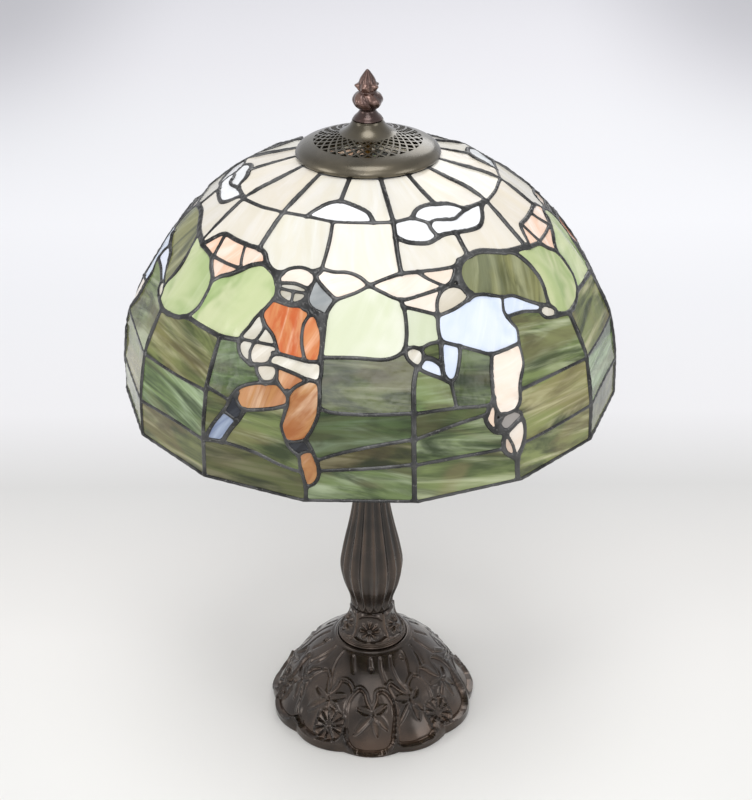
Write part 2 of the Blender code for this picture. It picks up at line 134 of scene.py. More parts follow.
# %% Mesh helpers
def keep(name, verts, faces, look, body, smooth=40, replaces=(), uvs=None, values=None):
    """A finished piece from points in the lamp's own frame, riding its body."""
    mesh = bpy.data.meshes.new(name)
    mesh.from_pydata([tuple(v) for v in verts], [], faces)
    mesh.update()
    mesh.materials.append(look)
    if uvs is not None:
        loops = np.empty(len(mesh.loops), np.int32)
        mesh.loops.foreach_get("vertex_index", loops)
        layer = mesh.uv_layers.new(name="sheet")
        layer.uv.foreach_set("vector", np.asarray(uvs, np.float32)[loops].ravel())
    for label, data in (values or {}).items():
        layer = mesh.attributes.new(label, "FLOAT", "POINT")
        layer.data.foreach_set("value", np.asarray(data, np.float32))
    mesh.shade_smooth()
    if smooth < 180:
        mesh.set_sharp_from_angle(angle=math.radians(smooth))
    made = bpy.data.objects.new(name, mesh)
    bpy.context.scene.collection.objects.link(made)
    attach(made, body)
    if replaces:
        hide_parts(*replaces)
    return made


def keep_bmesh(name, bm, look, body, smooth=40, replaces=(), values=None):
    """A finished piece from a bmesh, with its faces turned outwards."""
    bmesh.ops.recalc_face_normals(bm, faces=bm.faces)
    verts = [v.co.copy() for v in bm.verts]
    bm.verts.index_update()
    faces = [[v.index for v in f.verts] for f in bm.faces]
    bm.free()
    return keep(name, verts, faces, look, body, smooth, replaces, values=values)


# %% [markdown]
# ## Floor, light and camera
# A pale seamless floor runs out of sight behind the lamp. Its colour holds a painted shadow, greyest
# about 0.4 m behind the lamp, painted shade towards the far sides and painted light round the foot.
# There are six soft lights: one overhead, two in front, one on each side and one behind. The camera
# looks down on the lamp at 28 degrees.

# %% Stage
bpy.ops.object.select_all(action="DESELECT")
bpy.ops.mesh.primitive_plane_add(size=16, location=(0, 2, 0))
floor = bpy.context.object
floor.name = "studio_floor"
paper = bpy.data.materials.new("seamless_paper")
paper.use_nodes = True
tree = paper.node_tree
place = node(tree, "ShaderNodeTexCoord").outputs["Object"]
across = node(tree, "ShaderNodeSeparateXYZ", {"Vector": place}).outputs["Y"]
share = node(tree, "ShaderNodeMapRange", {"Value": across, "From Min": -2.2, "From Max": 1.0})
# Painted shadow: the ramp greys the floor in a band about 0.4 m behind the lamp, where the shade's soft
# shadow falls, and its other stops paint how the light falls off.
floor_ramp_painted_shadow = node(tree, "ShaderNodeValToRGB", {"Fac": share.outputs["Result"]})
stops = floor_ramp_painted_shadow.color_ramp.elements
stops[0].position, stops[0].color = 0.02, tint(231, 230, 227)
stops[1].position, stops[1].color = 0.95, tint(238, 237, 241)
for place_at, colour in ((0.09, tint(231, 229, 226)), (0.135, tint(223, 221, 218)),
                         (0.18, tint(212, 211, 209)), (0.235, tint(231, 230, 231)),
                         (0.34, tint(235, 235, 237)), (0.43, tint(242, 242, 244)),
                         (0.58, tint(241, 241, 243)), (0.70, tint(239, 238, 241))):
    stops.new(place_at).color = colour
sideways = node(tree, "ShaderNodeSeparateXYZ", {"Vector": place}).outputs["X"]
sideways = node(tree, "ShaderNodeMath", {0: sideways}, operation="ABSOLUTE").outputs[0]
# Painted shade: the floor is darkened towards the far sides, where the light falls off.
corner = times(tree, ramp(tree, sideways, 0.38, 0.85), ramp(tree, across, -0.8, 0.4))
shade = mix(tree, corner, floor_ramp_painted_shadow.outputs["Color"], tint(207, 206, 210))
# Painted light: a pale patch round the foot lightens the floor where the lamp's own shadow falls.
beside = node(tree, "ShaderNodeVectorMath", {0: place, 1: (0, -2, 0)}, operation="DISTANCE").outputs["Value"]
close = times(tree, ramp(tree, beside, 0.40, 0.10), 0.5)
shade = mix(tree, close, shade, tint(252, 250, 246))
surface = tree.nodes["Principled BSDF"].inputs
tree.links.new(shade, surface["Base Color"])
surface["Roughness"].default_value = 0.9
surface["Specular IOR Level"].default_value = 0.15
floor.data.materials.append(paper)

world = bpy.data.worlds.new("studio")
world.use_nodes = True
background = world.node_tree.nodes["Background"].inputs
background["Color"].default_value = tint(242, 243, 246)
background["Strength"].default_value = 0.755
bpy.context.scene.world = world
bpy.context.scene.view_settings.view_transform = "Standard"


def soft_light(name, place, aim, size, power, colour=(1, 1, 1)):
    """A round soft light at a place, turned to face its aim: size in metres, power in watts."""
    light = bpy.data.lights.new(name, "AREA")
    light.shape, light.size, light.energy, light.color = "DISK", size, power, colour
    made = bpy.data.objects.new(name, light)
    made.location = place
    made.rotation_euler = (Vector(aim) - Vector(place)).to_track_quat("-Z", "Y").to_euler()
    bpy.context.scene.collection.objects.link(made)


soft_light("overhead", (0.0, -0.45, 2.6), (0, 0, 0.3), 1.3, 17)
soft_light("front_key", (-0.1, -2.1, 2.4), (0, 0, 0.2), 2.0, 12.5)
soft_light("low_front", (-0.2, -2.4, 1.65), (0, 0, 0.15), 0.7, 4.4)
soft_light("left_fill", (-2.3, -0.9, 1.2), (0, 0, 0.3), 1.2, 11, (1.0, 0.99, 0.97))
soft_light("right_fill", (2.2, -1.3, 1.1), (0, 0, 0.3), 1.4, 11)
soft_light("back_rim", (0.6, 2.4, 1.9), (0, 0, 0.4), 1.6, 11.5)

camera = bpy.data.objects.new("camera", bpy.data.cameras.new("camera"))
camera.location = (0.0049, -1.2336, 0.9636)
camera.rotation_euler = (math.radians(62.05), 0, 0)
camera.rotation_euler = (camera.rotation_euler.to_matrix()
                         @ Matrix.Rotation(math.radians(-0.38), 3, "Z")).to_euler()
camera.data.lens, camera.data.sensor_width = 74.12, 36
bpy.context.scene.collection.objects.link(camera)
bpy.context.scene.camera = camera
print("stage: floor, 6 soft lights and a", round(camera.data.lens), "mm lens")

# %% [markdown]
# ## Opalescent glass
# Opal glass is rolled from two or three colours that never quite mix, so each sheet has long
# streaks, finer wisps inside them and a slightly rippled skin. Each cut piece has its own place
# on the sheet, its own tone and its own warmth, which come from the mesh.

# %% Glass group
WARMER, COOLER = (1.25, 0.86, 0.62, 1), (0.66, 1.0, 0.98, 1)
opal, gi, go = group("Opalescent glass", [
    ("Dark", "NodeSocketColor", (0.1, 0.1, 0.1, 1)), ("Mid", "NodeSocketColor", (0.4, 0.4, 0.4, 1)),
    ("Light", "NodeSocketColor", (0.8, 0.8, 0.8, 1)), ("Wisps", "NodeSocketFloat", 0.5),
    ("Ripple", "NodeSocketFloat", 0.12), ("Mottle", "NodeSocketFloat", 0.0),
    ("Second", "NodeSocketColor", (0.4, 0.4, 0.4, 1)), ("Share", "NodeSocketFloat", 0.0)],
    [("Color", "NodeSocketColor"), ("Roughness", "NodeSocketFloat"), ("Normal", "NodeSocketVector")])
sheet = node(opal, "ShaderNodeUVMap", uv_map="sheet").outputs["UV"]


def sheet_noise(stretch, detail, distortion, roughness=0.6):
    """Noise over the glass sheet, with these numbers of features a metre along and across it."""
    way = node(opal, "ShaderNodeMapping", {"Vector": sheet, "Scale": (*stretch, 1)}).outputs["Vector"]
    return node(opal, "ShaderNodeTexNoise", {"Vector": way, "Scale": 1.0, "Detail": detail,
                "Roughness": roughness, "Distortion": distortion}).outputs["Fac"]


swirl = sheet_noise((9, 44), 4.0, 1.5)
blot = sheet_noise((26, 34), 2.0, 0.5)
wisp = sheet_noise((8, 80), 3.0, 1.3, 0.5)
other = sheet_noise((8, 24), 2.5, 1.0)
cloud = node(opal, "ShaderNodeMix", {0: gi.outputs["Mottle"], 2: swirl, 3: blot},
             data_type="FLOAT").outputs[0]
body_colour = mix(opal, ramp(opal, cloud, 0.36, 0.62), gi.outputs["Dark"], gi.outputs["Mid"])
second = times(opal, ramp(opal, other, 0.46, 0.62), gi.outputs["Share"])
body_colour = mix(opal, second, body_colour, gi.outputs["Second"])
bright = times(opal, ramp(opal, wisp, 0.44, 0.74), ramp(opal, swirl, 0.3, 0.62))
bright = times(opal, bright, gi.outputs["Wisps"], True)
streaked = mix(opal, bright, body_colour, gi.outputs["Light"])
warm = node(opal, "ShaderNodeAttribute", attribute_name="warm").outputs["Fac"]
cold = times(opal, warm, -1.0, True)
hot = times(opal, warm, 1.0, True)
warmed = mix(opal, hot, streaked, mix(opal, 1.0, streaked, WARMER, "MULTIPLY"))
cooled = mix(opal, cold, warmed, mix(opal, 1.0, warmed, COOLER, "MULTIPLY"))
tone = node(opal, "ShaderNodeAttribute", attribute_name="tone").outputs["Fac"]
value = node(opal, "ShaderNodeMath", {0: tone, 1: 0.5, 2: 1.0}, operation="MULTIPLY_ADD").outputs[0]
toned = node(opal, "ShaderNodeHueSaturation", {"Color": cooled, "Value": value}).outputs["Color"]
opal.links.new(toned, go.inputs["Color"])
where = node(opal, "ShaderNodeTexCoord").outputs["Object"]
ripple = node(opal, "ShaderNodeTexNoise", {"Vector": where, "Scale": 85.0, "Detail": 2.0}).outputs["Fac"]
skin = node(opal, "ShaderNodeMath", {0: wisp, 1: 0.35, 2: ripple}, operation="MULTIPLY_ADD").outputs[0]
bump = node(opal, "ShaderNodeBump", {"Height": skin, "Strength": gi.outputs["Ripple"], "Distance": 0.002})
opal.links.new(bump.outputs["Normal"], go.inputs["Normal"])
dull = node(opal, "ShaderNodeMapRange", {"Value": ripple, "From Min": 0.3, "From Max": 0.7,
            "To Min": 0.09, "To Max": 0.2}).outputs["Result"]
opal.links.new(dull, go.inputs["Roughness"])
print("glass group:", len(opal.nodes), "nodes")

# %% [markdown]
# Fifteen sheets of glass are used. The field is the most streaked, with pale wisps in olive and
# brown, and the sky is a nearly even cream.

# %% Glass sheets
SHEETS = {  # name: dark, mid, light, wisps, ripple, mottle, second colour and its share
    "cream": ((219, 213, 197), (224, 220, 211), (231, 229, 224), 0.5, 0.10, 0.3, (226, 218, 198), 0.4),
    "cloud": ((236, 238, 240), (243, 244, 246), (250, 250, 250), 0.5, 0.10, 0.8, (236, 238, 240), 0.2),
    "leaf": ((152, 174, 114), (199, 206, 162), (212, 218, 182), 0.25, 0.12, 0.9, (187, 201, 148), 0.5),
    "mist": ((206, 212, 182), (222, 224, 206), (232, 233, 222), 0.3, 0.12, 0.8, (212, 218, 188), 0.5),
    "pine": ((72, 76, 44), (132, 132, 86), (172, 174, 138), 0.55, 0.14, 0.2, (118, 124, 98), 0.6),
    "field": ((42, 54, 28), (101, 115, 70), (178, 184, 158), 0.55, 0.14, 0.15, (106, 98, 68), 0.45),
    "amber": ((198, 98, 52), (208, 138, 88), (242, 200, 172), 1.2, 0.12, 0.0, (222, 144, 98), 0.7),
    "brown": ((154, 94, 52), (186, 138, 88), (224, 196, 168), 1.0, 0.12, 0.1, (200, 150, 112), 0.6),
    "blue": ((204, 216, 238), (222, 229, 244), (238, 243, 251), 0.5, 0.10, 0.6, (214, 224, 244), 0.5),
    "sea": ((96, 110, 146), (122, 132, 156), (176, 190, 210), 0.9, 0.12, 0.1, (110, 122, 152), 0.5),
    "peach": ((236, 218, 200), (240, 230, 218), (246, 242, 236), 0.6, 0.10, 0.3, (240, 222, 206), 0.5),
    "tan": ((192, 186, 168), (214, 210, 199), (234, 232, 224), 0.6, 0.12, 0.6, (206, 198, 182), 0.5),
    "grey": ((134, 138, 139), (158, 161, 162), (190, 190, 188), 0.6, 0.12, 0.7, (146, 146, 142), 0.5),
    "coal": ((24, 26, 33), (40, 43, 51), (72, 76, 84), 0.5, 0.12, 0.5, (40, 42, 46), 0.3),
    "rose": ((236, 188, 156), (239, 218, 200), (247, 238, 228), 0.9, 0.12, 0.2, (243, 200, 172), 0.6),
}
glass = {}
for name, (dark, mid, light, wisps, ripple_depth, mottle, other_one, share) in SHEETS.items():
    glass[name] = material(
        f"glass_{name}", opal,
        {"Dark": tint(*dark), "Mid": tint(*mid), "Light": tint(*light), "Wisps": wisps,
         "Ripple": ripple_depth, "Mottle": mottle, "Second": tint(*other_one), "Share": share},
        Specular_IOR_Level=0.4, IOR=1.5)
print("sheets of glass:", ", ".join(glass))

# %% [markdown]
# ## Solder and cast metal
# The solder has a dark chemical patina that sits unevenly, so small bright flecks show through.
# The castings are bronze-plated zinc, browned, then rubbed back on whatever stands proud. The
# mesh gives how proud each point is as "wear", which is under 0 where the colour is darkened:
# patina in the hollows of the foot and collar, and painted shade in the upper flutes of the vase.

# %% Metal group
# The colour for hollows: patina on the foot and collar, and painted shade in the vase's flutes.
PATINA_AND_PAINTED_SHADE = (0.22, 0.20, 0.18, 1)
metal, gi, go = group("Aged metal", [
    ("Deep", "NodeSocketColor", (0.02, 0.02, 0.02, 1)), ("Base", "NodeSocketColor", (0.1, 0.1, 0.1, 1)),
    ("Rubbed", "NodeSocketColor", (0.3, 0.2, 0.1, 1)), ("Rubbing", "NodeSocketFloat", 0.6),
    ("Flecks", "NodeSocketFloat", 0.0), ("Grain", "NodeSocketFloat", 0.1),
    ("Smooth", "NodeSocketFloat", 0.3), ("Rough", "NodeSocketFloat", 0.5)],
    [("Color", "NodeSocketColor"), ("Roughness", "NodeSocketFloat"), ("Normal", "NodeSocketVector")])
where = node(metal, "ShaderNodeTexCoord").outputs["Object"]
cloudy = node(metal, "ShaderNodeTexNoise", {"Vector": where, "Scale": 38.0, "Detail": 4.0}).outputs["Fac"]
grain = node(metal, "ShaderNodeTexNoise", {"Vector": where, "Scale": 420.0, "Detail": 3.0}).outputs["Fac"]
wear = node(metal, "ShaderNodeAttribute", attribute_name="wear").outputs["Fac"]
stained = mix(metal, ramp(metal, cloudy, 0.35, 0.65), gi.outputs["Deep"], gi.outputs["Base"])
rubbed = times(metal, wear, gi.outputs["Rubbing"])
uneven = times(metal, rubbed, ramp(metal, cloudy, 0.2, 0.6), True)
polished = mix(metal, uneven, stained, gi.outputs["Rubbed"])
# Where wear is under 0 the colour darkens: patina in hollows, and on the vase painted shade.
cavity = times(metal, wear, -1.0, True)
polished = mix(metal, cavity, polished, mix(metal, 1.0, polished, PATINA_AND_PAINTED_SHADE, "MULTIPLY"))
fleck = times(metal, ramp(metal, grain, 0.6, 0.68), gi.outputs["Flecks"], True)
flecked = mix(metal, fleck, polished, gi.outputs["Rubbed"])
metal.links.new(flecked, go.inputs["Color"])
rough = node(metal, "ShaderNodeMapRange", {"Value": cloudy, "From Min": 0.3, "From Max": 0.7,
             "To Min": gi.outputs["Smooth"], "To Max": gi.outputs["Rough"]}).outputs["Result"]
metal.links.new(rough, go.inputs["Roughness"])
bump = node(metal, "ShaderNodeBump", {"Height": grain, "Strength": gi.outputs["Grain"],
            "Distance": 0.0006})
metal.links.new(bump.outputs["Normal"], go.inputs["Normal"])
print("metal group:", len(metal.nodes), "nodes")

# %% Metal finishes
METALS = {  # name: deep, base, rubbed, rubbing, flecks, grain, smooth, rough, metallic, coat
    "solder": ((56, 56, 56), (92, 92, 92), (170, 168, 162), 0.0, 0.2, 0.30, 0.24, 0.42, 0.8, 0.0),
    "foot": ((46, 37, 30), (70, 58, 49), (112, 86, 66), 0.4, 0.0, 0.10, 0.19, 0.30, 0.7, 0.55),
    "cap": ((70, 63, 47), (88, 80, 63), (118, 109, 90), 0.5, 0.0, 0.05, 0.24, 0.32, 0.8, 0.8),
    "finial": ((54, 34, 29), (84, 57, 49), (138, 106, 94), 0.6, 0.0, 0.08, 0.22, 0.34, 0.75, 0.8),
    "brass": ((150, 112, 52), (186, 146, 76), (214, 180, 110), 0.3, 0.0, 0.05, 0.22, 0.34, 1.0, 0.0),
    "steel": ((120, 118, 112), (160, 158, 152), (190, 188, 184), 0.3, 0.0, 0.05, 0.28, 0.42, 1, 0.0),
    "iron": ((44, 43, 42), (64, 62, 60), (96, 92, 88), 0.3, 0.2, 0.4, 0.45, 0.65, 0.5, 0.0),
    "felt": ((34, 52, 40), (42, 64, 48), (52, 76, 58), 0.0, 0.4, 0.8, 0.90, 0.98, 0.0, 0.0),
    "plastic": ((20, 20, 20), (28, 28, 28), (40, 40, 40), 0.0, 0.0, 0.08, 0.38, 0.48, 0.0, 0.0),
}
look = {}
for name, (deep, base, rub, rubbing, flecks, bumps, low, high, metallic, coat) in METALS.items():
    look[name] = material(
        f"aged_{name}", metal,
        {"Deep": tint(*deep), "Base": tint(*base), "Rubbed": tint(*rub), "Rubbing": rubbing,
         "Flecks": flecks, "Grain": bumps, "Smooth": low, "Rough": high},
        Metallic=metallic, Coat_Weight=coat, Coat_Roughness=0.2)
look["frosted"] = material(
    "frosted_bulb", metal,
    {"Deep": tint(236, 234, 228), "Base": tint(244, 243, 239), "Rubbed": tint(250, 250, 250),
     "Rubbing": 0.0, "Flecks": 0.0, "Grain": 0.02, "Smooth": 0.30, "Rough": 0.36})
print("metal finishes:", ", ".join(look))

# %% [markdown]
# ## The dome as a curved sheet
# The dome is a turned profile cut into fifteen flat gores. A place on it is a turn from the front
# in degrees and a length in millimetres up from the rim, as if the shade were unrolled flat.

# %% The dome
DOME = ((0.0, 0.2032), (0.0305, 0.2024), (0.0690, 0.1965), (0.1050, 0.1795), (0.1400, 0.1535),
        (0.1650, 0.1270), (0.1850, 0.0975), (0.1975, 0.0550))  # height above the rim, corner radius
FIRST_SEAM = -13.95
FLAT_SHARE = 0.992  # mean radius of a flat-sided ring over its corner radius


def dome_curve(steps=24):
    """Length up the dome, height and corner radius, on a smooth curve through DOME."""
    slopes = [(b[1] - a[1]) / (b[0] - a[0]) for a, b in zip(DOME, DOME[1:])]
    inner = [2 * a * b / (a + b) if a * b > 0 else 0.0 for a, b in zip(slopes, slopes[1:])]
    slopes = [slopes[0], *inner, slopes[-1]]
    curve = [(0.0, *DOME[0])]
    for (low, high), (m0, m1) in zip(zip(DOME, DOME[1:]), zip(slopes, slopes[1:])):
        width = high[0] - low[0]
        for step in range(1, steps + 1):
            t = step / steps
            radius = (low[1] * (1 + 2 * t) * (1 - t) ** 2 + m0 * width * t * (1 - t) ** 2
                      + high[1] * t * t * (3 - 2 * t) + m1 * width * t * t * (t - 1))
            height = low[0] + t * width
            span = math.hypot(height - curve[-1][1], radius - curve[-1][2])
            curve.append((curve[-1][0] + span, height, radius))
    return np.array(curve)


CURVE = dome_curve()
TOP = CURVE[-1, 0] * 1000
RISE = np.gradient(CURVE[:, 1], CURVE[:, 0])
RUN = np.gradient(CURVE[:, 2], CURVE[:, 0])


def dome_points(turns, lengths, depths):
    """Points on the dome for turns in degrees, lengths in mm and depths inwards in mm."""
    turns, lengths, depths = (np.asarray(v, float) for v in (turns, lengths, depths))
    along, depths = lengths / 1000, depths / 1000
    out, up = (np.interp(along, CURVE[:, 0], v) for v in (RISE, -RUN))
    corner = np.interp(along, CURVE[:, 0], CURVE[:, 2]) - depths * out / math.cos(math.pi / PANELS)
    gore = math.radians(360 / PANELS)
    beyond = np.mod(np.radians(turns - FIRST_SEAM), gore) - gore / 2
    radius = corner * math.cos(gore / 2) / np.cos(beyond)
    level = RIM_Z + np.interp(along, CURVE[:, 0], CURVE[:, 1]) - depths * up
    angle = np.radians(turns)
    return np.stack([radius * np.sin(angle), -radius * np.cos(angle), level], -1)


def round_width(lengths):
    """Millimetres per degree round the dome at this length."""
    radius = np.interp(np.asarray(lengths, float) / 1000, CURVE[:, 0], CURVE[:, 2])
    return radius * FLAT_SHARE * math.pi / 180 * 1000


print("dome: %.0f mm from rim to opening" % TOP)

# %% [markdown]
# ## The drawing
# Each solder line is a soft curve with its own width. The picture fills a third of the shade: two
# players, a house between trees, hills and clouds, in a field with rows of glass below.

